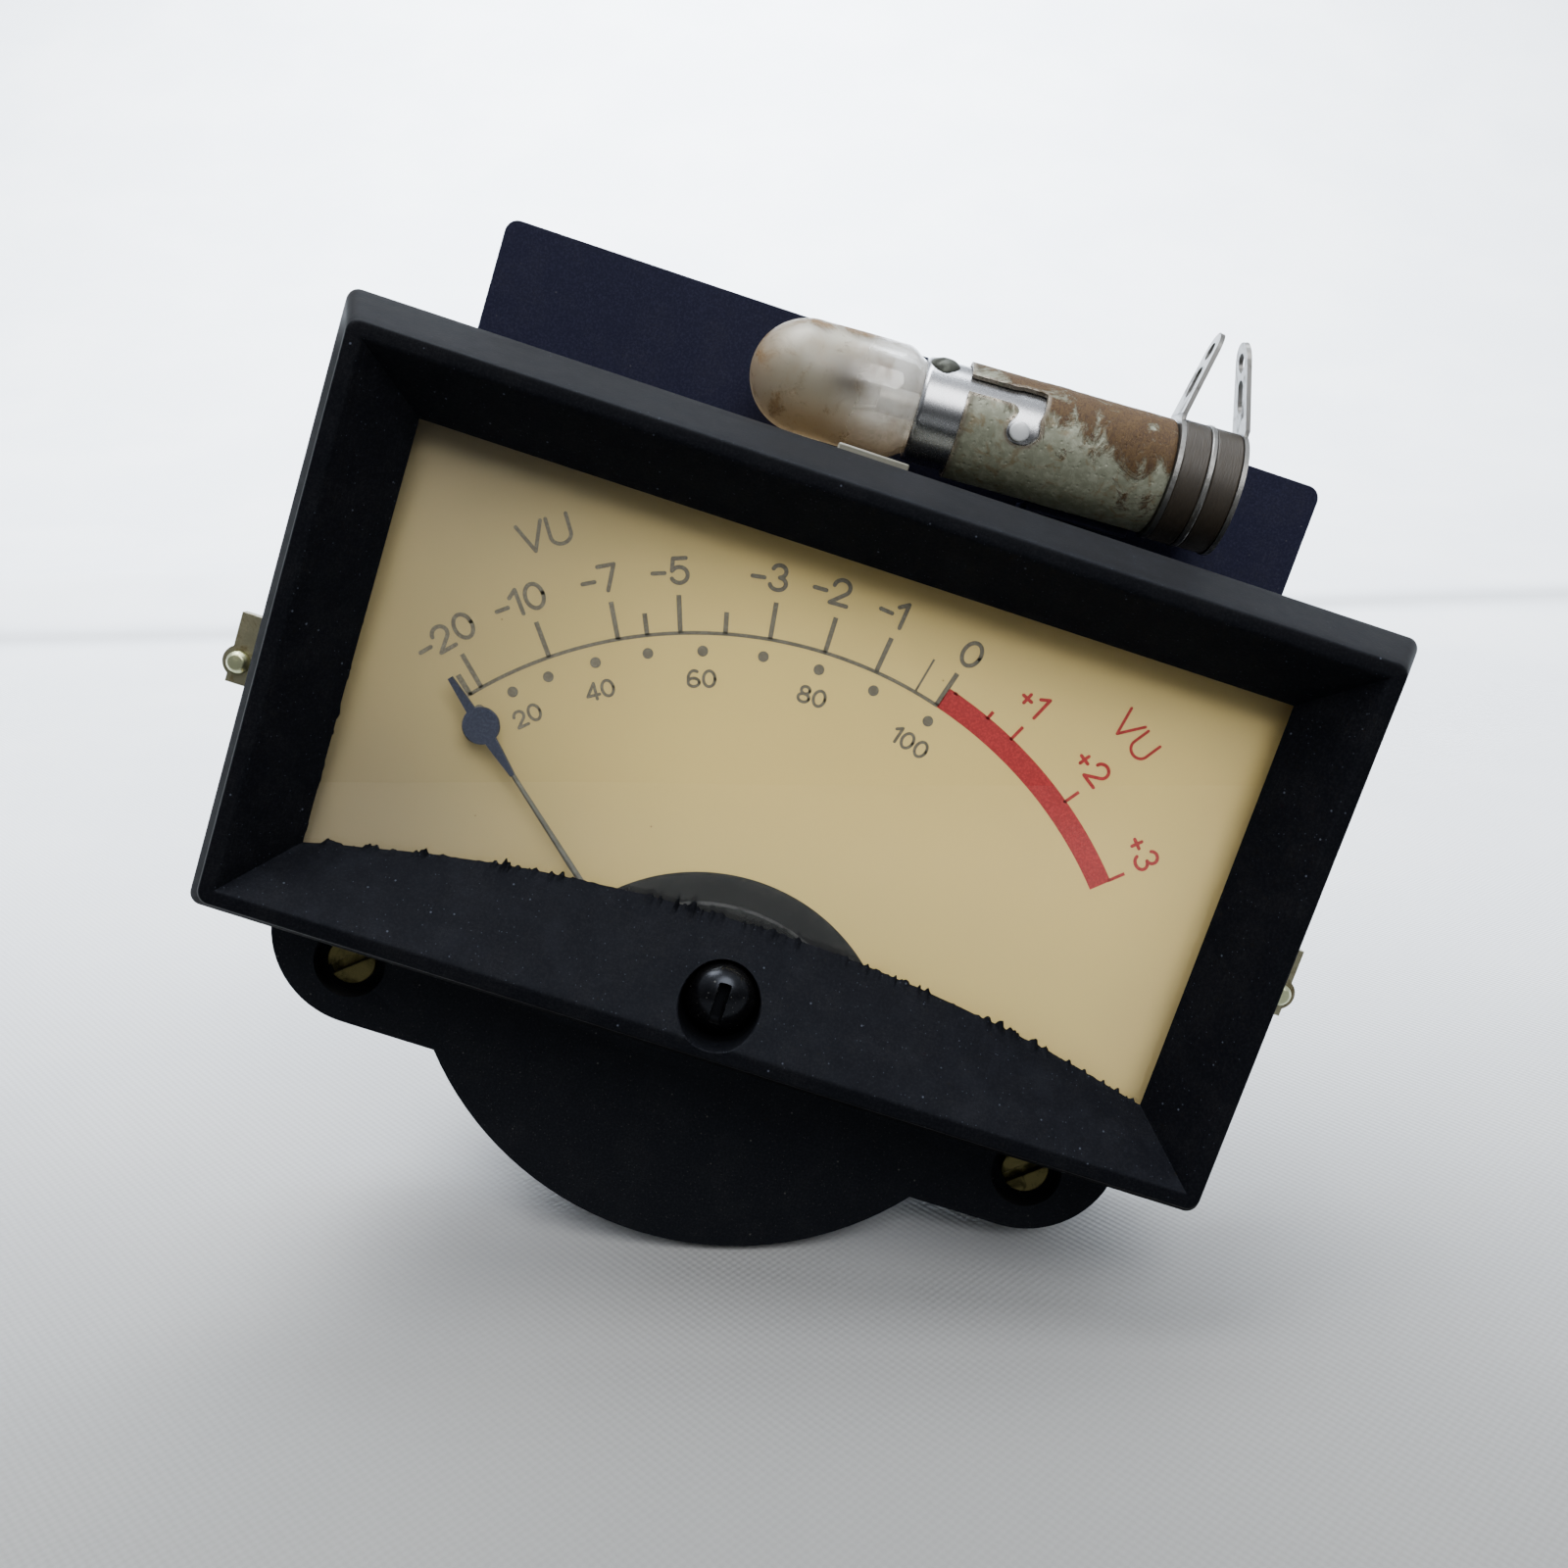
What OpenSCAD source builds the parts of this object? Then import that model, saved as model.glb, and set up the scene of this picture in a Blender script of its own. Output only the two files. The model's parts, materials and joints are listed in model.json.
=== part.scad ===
// Illuminated panel VU meter with a moving-coil movement and a bayonet lamp.
// Millimetres. +X right, +Y back, +Z up. Y = 0 is the flange face that meets
// the back of a panel, and the dial opening is centred on X = 0, Z = 0.

/* [Bezel] */
// Overall width of the bezel at its back edge
bezel_w = 88.9; // [88:0.1:92]
// Overall height of the bezel at its back edge
bezel_h = 51.5; // [51:0.1:54]
// Depth of the bezel from front rim to back edge
bezel_depth = 6; // [5.8:0.1:6.5]
// How far each outer wall spreads from front rim to back edge
bezel_flare = 2.45; // [1:0.05:3]
// Width of the flat front rim
rim_w = 1.2; // [0.8:0.1:1.6]
// Width of the inner slopes seen from the front
slope_w = 4.4; // [4:0.1:4.8]
// Depth of the inner slopes, which ends at the window
slope_depth = 5.4; // [5:0.1:5.6]
// Rise of the arched sill at its middle
arch_rise = 4.75; // [4:0.05:5]
// Radius of the upright outer corners
corner_r = 1; // [0.5:0.1:1.5]

/* [Window and dial] */
// Thickness of the window pane
window_t = 1.2; // [1:0.05:1.3]
// How far the pane reaches past its opening
window_lap = 0.8; // [0.7:0.1:1]
// Depth of the dial face behind the front rim
dial_depth = 8.7; // [8.6:0.1:9]
// Thickness of the dial plate
dial_t = 0.5; // [0.4:0.05:0.6]
// Depth of the middle of the pointer behind the front rim
pointer_depth = 7.2; // [7.1:0.05:7.3]
// Distance of the pointer pivot below the middle of the dial opening
pivot_drop = 26.4; // [26:0.1:26.8]
// Length of the pointer from its pivot to its tip
pointer_len = 38.3; // [36:0.1:39]
// Radius of the disc on the pointer
pointer_disc_r = 1.55; // [1.3:0.05:1.8]
// Angle of the resting pointer from upright, negative to the left
rest_angle = -49; // [-50:0.5:-47]
// Outer radius of the round cap in the dial
cap_r = 16.4; // [16:0.1:16.8]

/* [Case] */
// How far the bezel reaches past the front case at each side
case_step_w = 4.95; // [4.6:0.05:5.2]
// How far the bezel reaches past the front case above and below
case_step_h = 2.05; // [1.9:0.05:2.3]
// Wall of the front case
case_wall = 1.6; // [1.4:0.05:1.6]
// Distance from the front rim back to the panel face of the flange
seat_depth = 13.4; // [13:0.1:14]
// Thickness of the flange
flange_t = 3; // [2.8:0.1:3.4]
// How much further out than the round flange's edge each ear screw lies
ear_out = 3.15; // [3:0.05:3.6]
// Distance of the ear screws below the middle of the dial opening
ear_drop = 29.5; // [29.3:0.1:29.8]
// Radius of the rounded ear corners
ear_r = 8.4; // [8:0.1:9]
// Height of the bottom edge of the ears below the middle of the opening
ear_bottom = 35; // [34.8:0.1:35.4]
// Radius of the round flange below the bezel
disc_r = 28.6; // [28.2:0.1:29]
// Distance of the round case's axis below the middle of the opening
disc_drop = 17.3; // [17:0.1:17.6]
// Width of the step between round flange and round rear case
barrel_step = 3.8; // [3.6:0.1:4]
// Wall of the round rear case
barrel_wall = 1.8; // [1.5:0.1:1.9]
// Length of the round rear case behind the flange
barrel_len = 29.6; // [29.4:0.1:31]
// Thickness of the rear case's end wall
end_wall = 2; // [1.6:0.1:2.2]

/* [Zero adjuster] */
// Distance of the adjuster below the middle of the dial opening
zero_drop = 19.3; // [19.2:0.1:19.5]
// Radius of the recess round the adjuster
zero_recess_r = 3.3; // [3.2:0.05:3.4]
// Radius of the adjuster's stem
zero_stem_r = 1.5; // [1.3:0.05:1.6]
// Offset of the pin that moves the zero arm
zero_offset = 1.3; // [1.1:0.05:1.4]

/* [Back plate] */
// Width of the back plate
plate_w = 76.6; // [75:0.1:80]
// Height of the plate's top edge above the middle of the opening
plate_top = 36.6; // [35:0.1:38]
// Thickness of the back plate
plate_t = 1.2; // [1:0.1:1.6]
// Length of the two pillars between flange and plate
pillar_len = 7.6; // [7.4:0.1:8]
// Corner radius at the top of the plate
plate_corner_r = 1.2; // [0.6:0.1:2]

/* [Lamp] */
// Sideways place of the bayonet pins
lamp_x = 9.7; // [8:0.1:11]
// Distance of the lamp's axis behind the flange face
lamp_y = 3.6; // [3.4:0.1:3.8]
// Height of the lamp's axis at the pins
lamp_z = 31.86; // [31.8:0.02:32.2]
// Lean of the lamp's axis, degrees
lamp_tilt = 2.5; // [0:0.5:2.5]
// Radius of the glass bulb
bulb_r = 4.85; // [4.5:0.05:4.9]
// Radius of the lamp's metal base
base_r = 4.45; // [4.3:0.05:4.5]
// Wall of the socket shell
shell_wall = 0.4; // [0.35:0.05:0.45]
// Radius of the bayonet pins
pin_r = 0.83; // [0.75:0.01:0.9]
// Travel of the lamp when it is pressed into its socket
lamp_travel = 0.6; // [0.5:0.05:0.7]
// Radius of the fibre washers
washer_r = 5.2; // [5:0.1:5.4]

/* [Side clamps] */
// Distance from the middle to the outer edge of each clamp ear
clamp_reach = 50; // [49:0.1:51]
// Height of each clamp ear
clamp_h = 6.4; // [5.5:0.1:7]
// Height of the clamps' middle above the middle of the opening
clamp_z = -6.4; // [-8:0.1:-5]
// Radius of the clamp screws
clamp_screw_r = 1; // [0.9:0.05:1.2]

/* [Terminals] */
// Distance between the two terminal studs
stud_spacing = 25.4; // [24:0.1:26]
// Radius of the terminal studs' free ends
stud_r = 2; // [1.8:0.05:2.2]
// Length of the studs beyond the rear case
stud_out = 12; // [11.5:0.1:16]

/* [Movement] */
// Radius of the core magnet as a share of the yoke's outer radius
core_share = 0.46; // [0.45:0.005:0.47]
// Inner radius of the yoke ring as a share of its outer radius
yoke_in_share = 0.65; // [0.645:0.005:0.66]
// Radius of the moving coil's sides as a share of the yoke's outer radius
coil_share = 0.555; // [0.55:0.005:0.56]
// Clear space between the yoke ring and the rear case's wall
yoke_space = 1.3; // [1:0.1:1.6]
// Space behind the core for the carrier, rear spring and rear bridge
rear_room = 8; // [7.6:0.1:8.6]
// Radius at which the pointer bends forward
crank_r = 10.6; // [10.5:0.05:10.8]

/* [Hidden] */
$fn = 64;
eps = 0.01;
slip = 0.05;        // running clearance of a turning fit
thread = 0.02;      // clearance of threads and rivets
gap = 0.3;          // clearance between pieces that don't touch
seat = 0.1;         // clearance of a piece dropped into its recess

front = -seat_depth;
case_w = bezel_w - 2 * case_step_w;
case_h = bezel_h - 2 * case_step_h;
rim_half_w = bezel_w / 2 - bezel_flare - rim_w;
rim_half_h = bezel_h / 2 - bezel_flare - rim_w;
open_half_w = rim_half_w - slope_w;
open_half_h = rim_half_h - slope_w;
arch_r = (open_half_w * open_half_w + arch_rise * arch_rise) / (2 * arch_rise);
arch_top = arch_rise - open_half_h;
bezel_back = front + bezel_depth;
pane_front = front + slope_depth;
pane_back = pane_front + window_t;
register_len = 0.7;
cav_half_w = case_w / 2 - case_wall;
cav_half_h = case_h / 2 - case_wall;
ledge = 2.2;        // ledge that carries the dial
dial_front = front + dial_depth;
dial_back = dial_front + dial_t;
light_half_w = 22;  // half the width of the light window
light_front = front + 7.2;
light_back = front + 12;

well_r = 13.4;      // opening in the case floor round the pivot
cap_cut_z = 0.2 - cav_half_h;
cap_plug_r = cap_r - 1.4;
drum_r = cap_r - 2.5;
pointer_y = front + pointer_depth;
drum_front = pointer_y + 0.45;
drum_t = 0.8;

pivot_z = -pivot_drop;
zero_z = -zero_drop;
zero_floor = front + 5;
zero_arm_r = pivot_drop - zero_drop + zero_offset;
pin_thin_r = 0.45;  // eccentric pin

plate_front = flange_t + pillar_len;
plate_back = plate_front + plate_t;
ear_x = disc_r + ear_out;
ear_corner_x = ear_x - 0.75;
ear_z = -ear_drop;
screw_r = 1.5;      // ear screws
screw_hole_r = 1.7;
ear_head_r = 2.15;
counterbore_r = 3.2;
counterbore_depth = 2;

barrel_back = flange_t + barrel_len;
barrel_r = disc_r - barrel_step;
barrel_in_r = barrel_r - barrel_wall;
wall_inner = barrel_back - end_wall;
rim_flange_t = 2.4;

// movement, from front to back along the pivot axis
arm_y = flange_t + 0.6;
arm_t = 0.5;
bridge_y = arm_y + arm_t + 0.5;
bridge_t = 1.2;
spring_y = bridge_y + bridge_t + 0.7;
hub_y = spring_y + 1.1;
hub_len = 1.4;
hub_r = 1.3;
coil_front = hub_y + hub_len + 0.4;
former_t = 0.5;
coil_t = 1;
coil_end_gap = 0.7;
core_front = coil_front + former_t + coil_t + coil_end_gap;
core_back = wall_inner - rear_room;
core_len = core_back - core_front;
yoke_r = barrel_in_r - abs(pivot_drop - disc_drop) - yoke_space;
yoke_in_r = yoke_in_share * yoke_r;
core_r = core_share * yoke_r;
coil_r = coil_share * yoke_r;
coil_back = core_back + coil_end_gap + coil_t + former_t;
carrier_t = 1.4;
spring_back_y = coil_back + 1;
bridge_back_y = spring_back_y + 1.2;
staff_r = 0.4;
jewel_screw_r = 1.5;
collet_r = 0.9;
foot_x = (yoke_in_r + yoke_r) / 2;
foot_r = 1.8;
small_screw_r = 0.7;
boss_r = 2.5;
boss_x = sqrt(pow(barrel_in_r - boss_r - gap, 2) - pow(pivot_drop - disc_drop, 2));

base_len = 12.1;    // lamp base, from neck to insulator
base_x0 = -9.1;    // lamp base begins here along the lamp axis
shell_in_r = base_r + 0.1;
shell_r = shell_in_r + shell_wall;
shell_x0 = -5.4;
shell_x1 = 12.6;
slot_half = pin_r + 0.22; // pocket round the pin
leg_half = pin_r + 0.1;   // legs that lead to it
pin_x = -0.55;            // pins along the lamp's axis
slot_far = pin_x + lamp_travel + pin_r + 0.05;
slot_up = 36;       // degrees from the pin up to the slot's straight leg
lug_t = 0.4;
washer_t = 2.3;
ring_t = 0.5;
lug1_x = shell_x1;
washer1_x = lug1_x + lug_t;
ring_x = washer1_x + washer_t;
washer2_x = ring_x + ring_t;
lug2_x = washer2_x + washer_t;
stack_end = lug2_x + lug_t;
bush_in_r = 1.05;
bush_r = 1.7;
plunger_r = 0.95;
contact_x = 6.6;

clamp_t = 1.2;
clamp_ear_y = flange_t + 1.6;
clamp_screw_x = clamp_reach - 0.8;
clamp_screw_z = clamp_z - 1.2;
clamp_collar_r = clamp_screw_r + 0.5;
clamp_foot_x = plate_w / 2 - 9;
clamp_rivet_x = plate_w / 2 - 5.5;

stud_z = -8;
shank_r = stud_r + 0.25;    // stud inside the case and under its nut
stud_nut_t = 2.8;

// ---------- helpers ----------

// outline in X and Z carried from y0 back to y1
module slab(y0, y1) {
    translate([0, y1, 0]) rotate([90, 0, 0]) linear_extrude(height = y1 - y0) children();
}

// round bar along Y
module bar(x, z, r, y0, y1) {
    slab(y0, y1) translate([x, z]) circle(r = r);
}

// profile of radius and depth turned about an axis along Y
module turned_y(x, z, points) {
    translate([x, 0, z]) rotate([-90, 0, 0]) rotate_extrude() polygon(points);
}

// profile of radius and length turned about the lamp's axis
module turned_x(points) {
    rotate([0, 90, 0]) rotate_extrude() polygon(points);
}

module rounded(half_w, half_h, r) {
    square([2 * half_w - 2 * r, 2 * half_h], center = true);
    square([2 * half_w, 2 * half_h - 2 * r], center = true);
    for (sx = [-1, 1], sz = [-1, 1])
        translate([sx * (half_w - r), sz * (half_h - r)]) circle(r = r);
}

module hex(across, y0, y1) {
    slab(y0, y1) circle(r = across / 2 / cos(30), $fn = 6);
}

// both sides of the meter
module sides() {
    for (s = [0, 1]) mirror([s, 0, 0]) children();
}

module at_pivot() {
    translate([0, 0, pivot_z]) children();
}

// the moving assembly is drawn with its pointer upright
module rotor() {
    at_pivot() rotate([0, rest_angle, 0]) children();
}

// lamp axis along its own X, with the pins at 0
module lamp_place() {
    translate([lamp_x, lamp_y, lamp_z]) rotate([0, -lamp_tilt, 0]) children();
}

// ---------- front ----------

// opening ring between rim and window: level top and sides, arched sill
function arch_z(x) = arch_top - arch_r + sqrt(arch_r * arch_r - x * x);
sill_steps = 36;
function ring_front() = concat(
    [for (i = [0:sill_steps]) [rim_half_w * (2 * i / sill_steps - 1), -rim_half_h]],
    [[rim_half_w, rim_half_h], [-rim_half_w, rim_half_h]]);
function ring_back() = concat(
    [for (i = [0:sill_steps]) let (x = open_half_w * (2 * i / sill_steps - 1)) [x, arch_z(x)]],
    [[open_half_w, open_half_h], [-open_half_w, open_half_h]]);
// the ring at any depth along the straight slopes
function ring_at(t) = let (a = ring_front(), b = ring_back())
    [for (i = [0:len(a) - 1]) let (p = a[i] + (b[i] - a[i]) * t) [p[0], front + t * slope_depth, p[1]]];

// rounded outline of the outer walls at one depth
function outer_ring(y, flare) = let (r = corner_r, w = bezel_w / 2 - flare - r, h = bezel_h / 2 - flare - r)
    [for (c = [0:3], k = [0:6]) let (a = 180 + 90 * c + 15 * k)
        [(c == 1 || c == 2 ? w : -w) + r * cos(a), y, (c > 1 ? h : -h) + r * sin(a)]];

// solid between two rings of equally many points, each anticlockwise from the front
module loft(before, behind) {
    n = len(before);
    polyhedron(concat(before, behind), concat(
        [for (i = [0:n - 3]) [n - 1, i + 1, i]],
        [for (i = [0:n - 3]) [2 * n - 1, n + i, n + i + 1]],
        [for (i = [0:n - 1], half = [0, 1]) let (j = (i + 1) % n) half == 0 ? [i, j, n + j] : [i, n + j, n + i]]));
}

module pane_outline(extra) {
    difference() {
        translate([0, (window_lap + open_half_h + arch_top - 6) / 2])
            square([2 * (open_half_w + window_lap + extra),
                open_half_h + window_lap - arch_top + 6 + 2 * extra], center = true);
        translate([0, arch_top - window_lap - extra - arch_r]) circle(r = arch_r, $fn = 180);
    }
}

module bezel() {
    color("#26272b")
    difference() {
        union() {
            loft(outer_ring(front, bezel_flare), outer_ring(bezel_back, 0));
            slab(bezel_back - 0.5, bezel_back + register_len)
                square([2 * (cav_half_w - seat), 2 * (cav_half_h - seat)], center = true);
        }
        loft(ring_at(-0.2), ring_at(1.02));
        slab(pane_front, bezel_back + 2) pane_outline(seat);
        bar(0, zero_z, zero_recess_r, front - 1, zero_floor);
        bar(0, zero_z, zero_stem_r + slip, front, bezel_back + 2);
    }
}

module window() {
    color([0.9, 0.92, 0.9, 0.3])
    slab(pane_front, pane_back) pane_outline(0);
}

module flange_outline() {
    translate([0, (case_h / 2 - ear_bottom + ear_r) / 2])
        square([2 * (ear_corner_x + ear_r), case_h / 2 + ear_bottom - ear_r], center = true);
    square([case_w - 0.2, case_h], center = true);
    translate([0, ear_r - ear_bottom]) square([2 * ear_corner_x, 2 * ear_r], center = true);
    for (s = [-1, 1]) translate([s * ear_corner_x, ear_r - ear_bottom]) circle(r = ear_r);
    translate([0, -disc_drop]) circle(r = disc_r, $fn = 128);
}

module front_case() {
    color("#1d1f29")
    difference() {
        union() {
            slab(bezel_back, eps) rounded(case_w / 2, case_h / 2, corner_r);
            slab(0, flange_t) flange_outline();
        }
        slab(bezel_back - 1, dial_back) square([2 * cav_half_w, 2 * cav_half_h], center = true);
        slab(dial_front, 0) square([2 * (cav_half_w - ledge), 2 * (cav_half_h - ledge)], center = true);
        // gap in the ledge for the movement cap
        slab(dial_front, 0) translate([-cap_r - gap, -cav_half_h]) square([2 * (cap_r + gap), 2 * ledge]);
        // well for the movement, kept above the floor of the case
        slab(-1, flange_t + 1) intersection() {
            translate([0, pivot_z]) circle(r = well_r);
            translate([0, cap_cut_z + 20]) square([60, 40], center = true);
        }
        // slot in the roof for the light window
        translate([-light_half_w - seat, light_front - seat, cav_half_h - 0.2])
            cube([2 * (light_half_w + seat), light_back - light_front + 2 * seat, case_wall + 3]);
        for (s = [-1, 1]) {
            bar(s * ear_x, ear_z, counterbore_r, -1, counterbore_depth);
            bar(s * ear_x, ear_z, screw_hole_r, -1, flange_t + 1);
        }
        case_screw_places() bar(0, 0, 0.8 + thread, flange_t - 2.2, flange_t + 1);
    }
}

// three screws round the rear case
module case_screw_places() {
    translate([0, 0, -disc_drop]) for (a = [90, 210, 330])
        translate([case_screw_ring * cos(a), 0, case_screw_ring * sin(a)]) children();
}
case_screw_ring = (disc_r + barrel_r) / 2;

module dial() {
    color("#d2c39a")
    slab(dial_front, dial_back) difference() {
        square([2 * (cav_half_w - gap), 2 * (cav_half_h - gap)], center = true);
        translate([0, pivot_z]) circle(r = cap_plug_r + seat, $fn = 96);
    }
}

// cap over the movement: rounded edge, raised drum, arc slot for the pointer
module movement_cap() {
    edge = dial_front - 0.6;
    floor_y = -seat;
    color("#2b2e2e")
    intersection() {
        difference() {
            turned_y(0, pivot_z, [[0, drum_front], [drum_r, drum_front], [drum_r, edge], [cap_r - 0.8, edge],
                [cap_r - 0.2, edge + 0.2], [cap_r, dial_front - eps], [cap_plug_r, dial_front - eps],
                [cap_plug_r, floor_y], [cap_plug_r - 1, floor_y], [cap_plug_r - 1, edge + 0.8],
                [drum_r - 0.8, edge + 0.8], [drum_r - 0.8, drum_front + drum_t], [0, drum_front + drum_t]]);
            // arc slot
            at_pivot() rotate([-90, 0, 0]) rotate([0, 0, 34 - 180]) translate([0, 0, drum_front - 1])
                rotate_extrude(angle = 112) translate([crank_r - 0.9, 0]) square([1.8, drum_t + 2]);
            bar(0, zero_z, zero_offset + pin_thin_r + 0.25, drum_front - 1, drum_front + 2);
        }
        translate([-30, front, cap_cut_z]) cube([60, seat_depth, 40]);
    }
}

module light_window() {
    tab_z = case_h / 2 + 2.7;
    color([0.92, 0.9, 0.8, 0.7]) {
        translate([-light_half_w, light_front, cav_half_h - 0.1])
            cube([2 * light_half_w, light_back - light_front, case_wall + 0.1]);
        translate([-4.7, light_front + 2.2, case_h / 2 - eps]) cube([6, 1, tab_z - case_h / 2]);
    }
}

// ---------- zero adjuster ----------

module zero_screw() {
    head_r = zero_recess_r - 0.38;
    step = zero_floor - 1.1;
    dome = 2;
    color("#141416")
    difference() {
        union() {
            turned_y(0, zero_z, concat([[0, step - dome]],
                [for (a = [15:15:90]) [head_r * sin(a), step - dome * cos(a)]],
                [[head_r, zero_floor - slip], [zero_stem_r, zero_floor - slip],
                [zero_stem_r, drum_front - 0.3], [0, drum_front - 0.3]]));
            bar(0, zero_z + zero_offset, pin_thin_r, drum_front - 0.5, arm_y + arm_t);
        }
        translate([-0.4, step - dome - 1, zero_z - 2.1]) cube([0.8, 2.1, 4.2]);
    }
}

// spring washer that holds the adjuster
module zero_washer() {
    color("#b9b6a8")
    difference() {
        bar(0, zero_z, 2.5, bezel_back + register_len + slip, bezel_back + register_len + 0.3);
        bar(0, zero_z, zero_stem_r + slip, bezel_back, bezel_back + 3);
    }
}

// arm that carries the outer end of the front hairspring
module zero_arm() {
    tail_r = 5.6;
    half = 1.05;
    slot_w = pin_thin_r + 0.08;
    color("#c8a860")
    at_pivot() {
        difference() {
            union() {
                bar(0, 0, 2.4, arm_y, arm_y + arm_t);
                slab(arm_y, arm_y + arm_t) translate([-half, 0]) square([2 * half, zero_arm_r + 0.9]);
                slab(arm_y, arm_y + arm_t) translate([-0.6, -tail_r - 0.6]) square([1.2, tail_r]);
            }
            bar(0, 0, jewel_screw_r + slip, arm_y - 1, arm_y + 2);
            slab(arm_y - 1, arm_y + 1) translate([-slot_w, zero_arm_r - 1]) square([2 * slot_w, 4]);
        }
        bar(0, -tail_r, 0.4, arm_y + arm_t - eps, spring_y + 0.5);
    }
}

// ---------- moving coil ----------

module pointer() {
    stem_end = pointer_len - 9.4;
    color("#6b6d66")
    rotor() {
        slab(hub_y + 0.45, hub_y + 0.85) translate([-0.33, hub_r + eps]) square([0.66, crank_r + 0.15 - hub_r]);
        translate([-0.33, pointer_y - 0.15, crank_r - 0.15]) cube([0.66, hub_y + 1 - pointer_y, 0.3]);
        slab(pointer_y - 0.15, pointer_y + 0.15)
            polygon([[-0.33, crank_r - 0.15], [0.33, crank_r - 0.15], [0.22, stem_end], [-0.22, stem_end]]);
    }
}

// flat tip with its disc, slipped over the end of the stem
module pointer_tip() {
    disc_z = pointer_len - 4.6;
    neck_z = pointer_len - 9.4;
    color("#23273a")
    rotor() slab(pointer_y - 0.18, pointer_y + 0.18) {
        polygon([[-0.21, neck_z], [0.21, neck_z], [0.5, disc_z - 1.2], [0.5, disc_z], [-0.5, disc_z],
            [-0.5, disc_z - 1.2]]);
        translate([0, disc_z]) circle(r = pointer_disc_r);
        polygon([[-0.45, disc_z], [0.45, disc_z], [0.24, pointer_len], [-0.24, pointer_len]]);
    }
}

module pointer_hub() {
    color("#c9ccd0")
    rotor() {
        bar(0, 0, hub_r, hub_y, hub_y + hub_len);
        bar(0, 0, collet_r, spring_y - 0.3, hub_y + eps);
        slab(hub_y + hub_len - 0.5, hub_y + hub_len) {
            translate([-0.4, -7]) square([0.8, 6.5]);
            translate([-4.6, -1.6]) square([9.2, 0.8]);
        }
    }
}

// balance weights wound on the hub's cross arms
module balance_weights() {
    color("#b08d4c")
    rotor() {
        bar(0, -6.3, 1.3, hub_y + hub_len - 1.9, hub_y + hub_len - 0.5);
        for (s = [-1, 1]) bar(s * 3.8, -1.2, 0.8, hub_y + hub_len - 1.4, hub_y + hub_len - 0.5);
    }
}

// rectangular loop round the core; its sides lie across the pointer and run along Y
module coil_loop(inner_r, outer_r, y0, y1, t, width) {
    difference() {
        translate([-outer_r, y0, -width / 2]) cube([2 * outer_r, y1 - y0, width]);
        translate([-inner_r, y0 + t, -width]) cube([2 * inner_r, y1 - y0 - 2 * t, 2 * width]);
    }
}

coil_in_r = coil_r - 0.55;
coil_mid_r = coil_in_r + 0.25;
coil_out_r = coil_r + 0.65;

module coil_former() {
    color("#c4c7cb")
    rotor() coil_loop(coil_in_r, coil_mid_r, coil_front + coil_t, coil_back - coil_t, former_t, 2.6);
}

module coil_winding() {
    color("#a3562a")
    rotor() coil_loop(coil_mid_r, coil_out_r, coil_front, coil_back, coil_t, 2.2);
}

// hardened staffs with pointed ends, one at each end of the coil
module pivot_staffs() {
    tip0 = bridge_y + 0.35;
    tip1 = bridge_back_y + bridge_t - 0.35;
    color("#8d9096")
    at_pivot() {
        turned_y(0, 0, [[0, tip0], [staff_r, tip0 + 0.9], [staff_r, spring_y - 0.3], [0, spring_y - 0.3]]);
        turned_y(0, 0, [[0, hub_y + hub_len], [staff_r, hub_y + hub_len], [staff_r, coil_front], [0, coil_front]]);
        turned_y(0, 0, [[0, coil_back], [collet_r, coil_back], [collet_r, spring_back_y + 0.4],
            [staff_r, spring_back_y + 0.4], [staff_r, tip1 - 0.9], [0, tip1]]);
    }
}

// flat spiral strip; its inner end stands clear of the collet
module hairspring(y, outer, start) {
    turns = 4;
    steps = 20;
    inner = collet_r + 0.12;
    half = 0.06;
    n = turns * steps;
    function radius(i) = inner + half + (outer - inner) * i / n;
    function spot(i, off) = let (a = 360 * i / steps + start, r = radius(i) + off) [r * cos(a), r * sin(a)];
    slab(y, y + 0.4)
        polygon(concat([for (i = [0:n]) spot(i, half)], [for (i = [n:-1:0]) spot(i, -half)]));
}

module hairspring_front() {
    color("#9c7a3c") at_pivot() hairspring(spring_y, 5.04, -90);
}

module hairspring_rear() {
    color("#9c7a3c") at_pivot() hairspring(spring_back_y, 5.04, 180);
}

module core_magnet() {
    color("#5e6166") at_pivot() bar(0, 0, core_r, core_front, core_back);
}

// brass blades that hold the core inside the yoke, clear of the coil
module core_supports() {
    color("#b8964e")
    at_pivot() for (s = [-1, 1]) slab(core_front + 1, core_back - 1)
        intersection() {
            difference() {
                circle(r = yoke_in_r);
                circle(r = core_r);
            }
            translate([-1, s > 0 ? 0 : -10]) square([2, 10]);
        }
}

module yoke_ring() {
    color("#77797d")
    at_pivot() difference() {
        bar(0, 0, yoke_r, core_front, core_back);
        bar(0, 0, yoke_in_r, core_front - 1, core_back + 1);
        for (s = [-1, 1]) bar(s * foot_x, 0, small_screw_r + thread, core_front - 1, core_back + 1);
    }
}

// strip on two feet that carries a jewel screw
module bridge(strip_y, foot0, foot1) {
    difference() {
        union() {
            slab(strip_y, strip_y + bridge_t) translate([-foot_x, -2.4]) square([2 * foot_x, 4.8]);
            for (s = [-1, 1]) {
                bar(s * foot_x, 0, 2.4, strip_y, strip_y + bridge_t);
                bar(s * foot_x, 0, foot_r, foot0, foot1);
            }
        }
        bar(0, 0, jewel_screw_r + thread, strip_y - 1, strip_y + bridge_t + 1);
        for (s = [-1, 1]) bar(s * foot_x, 0, small_screw_r + slip, foot0 - 3, foot1 + 3);
    }
}

module front_bridge() {
    color("#b4b7ba") at_pivot() bridge(bridge_y, bridge_y + eps, core_front);
}

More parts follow.
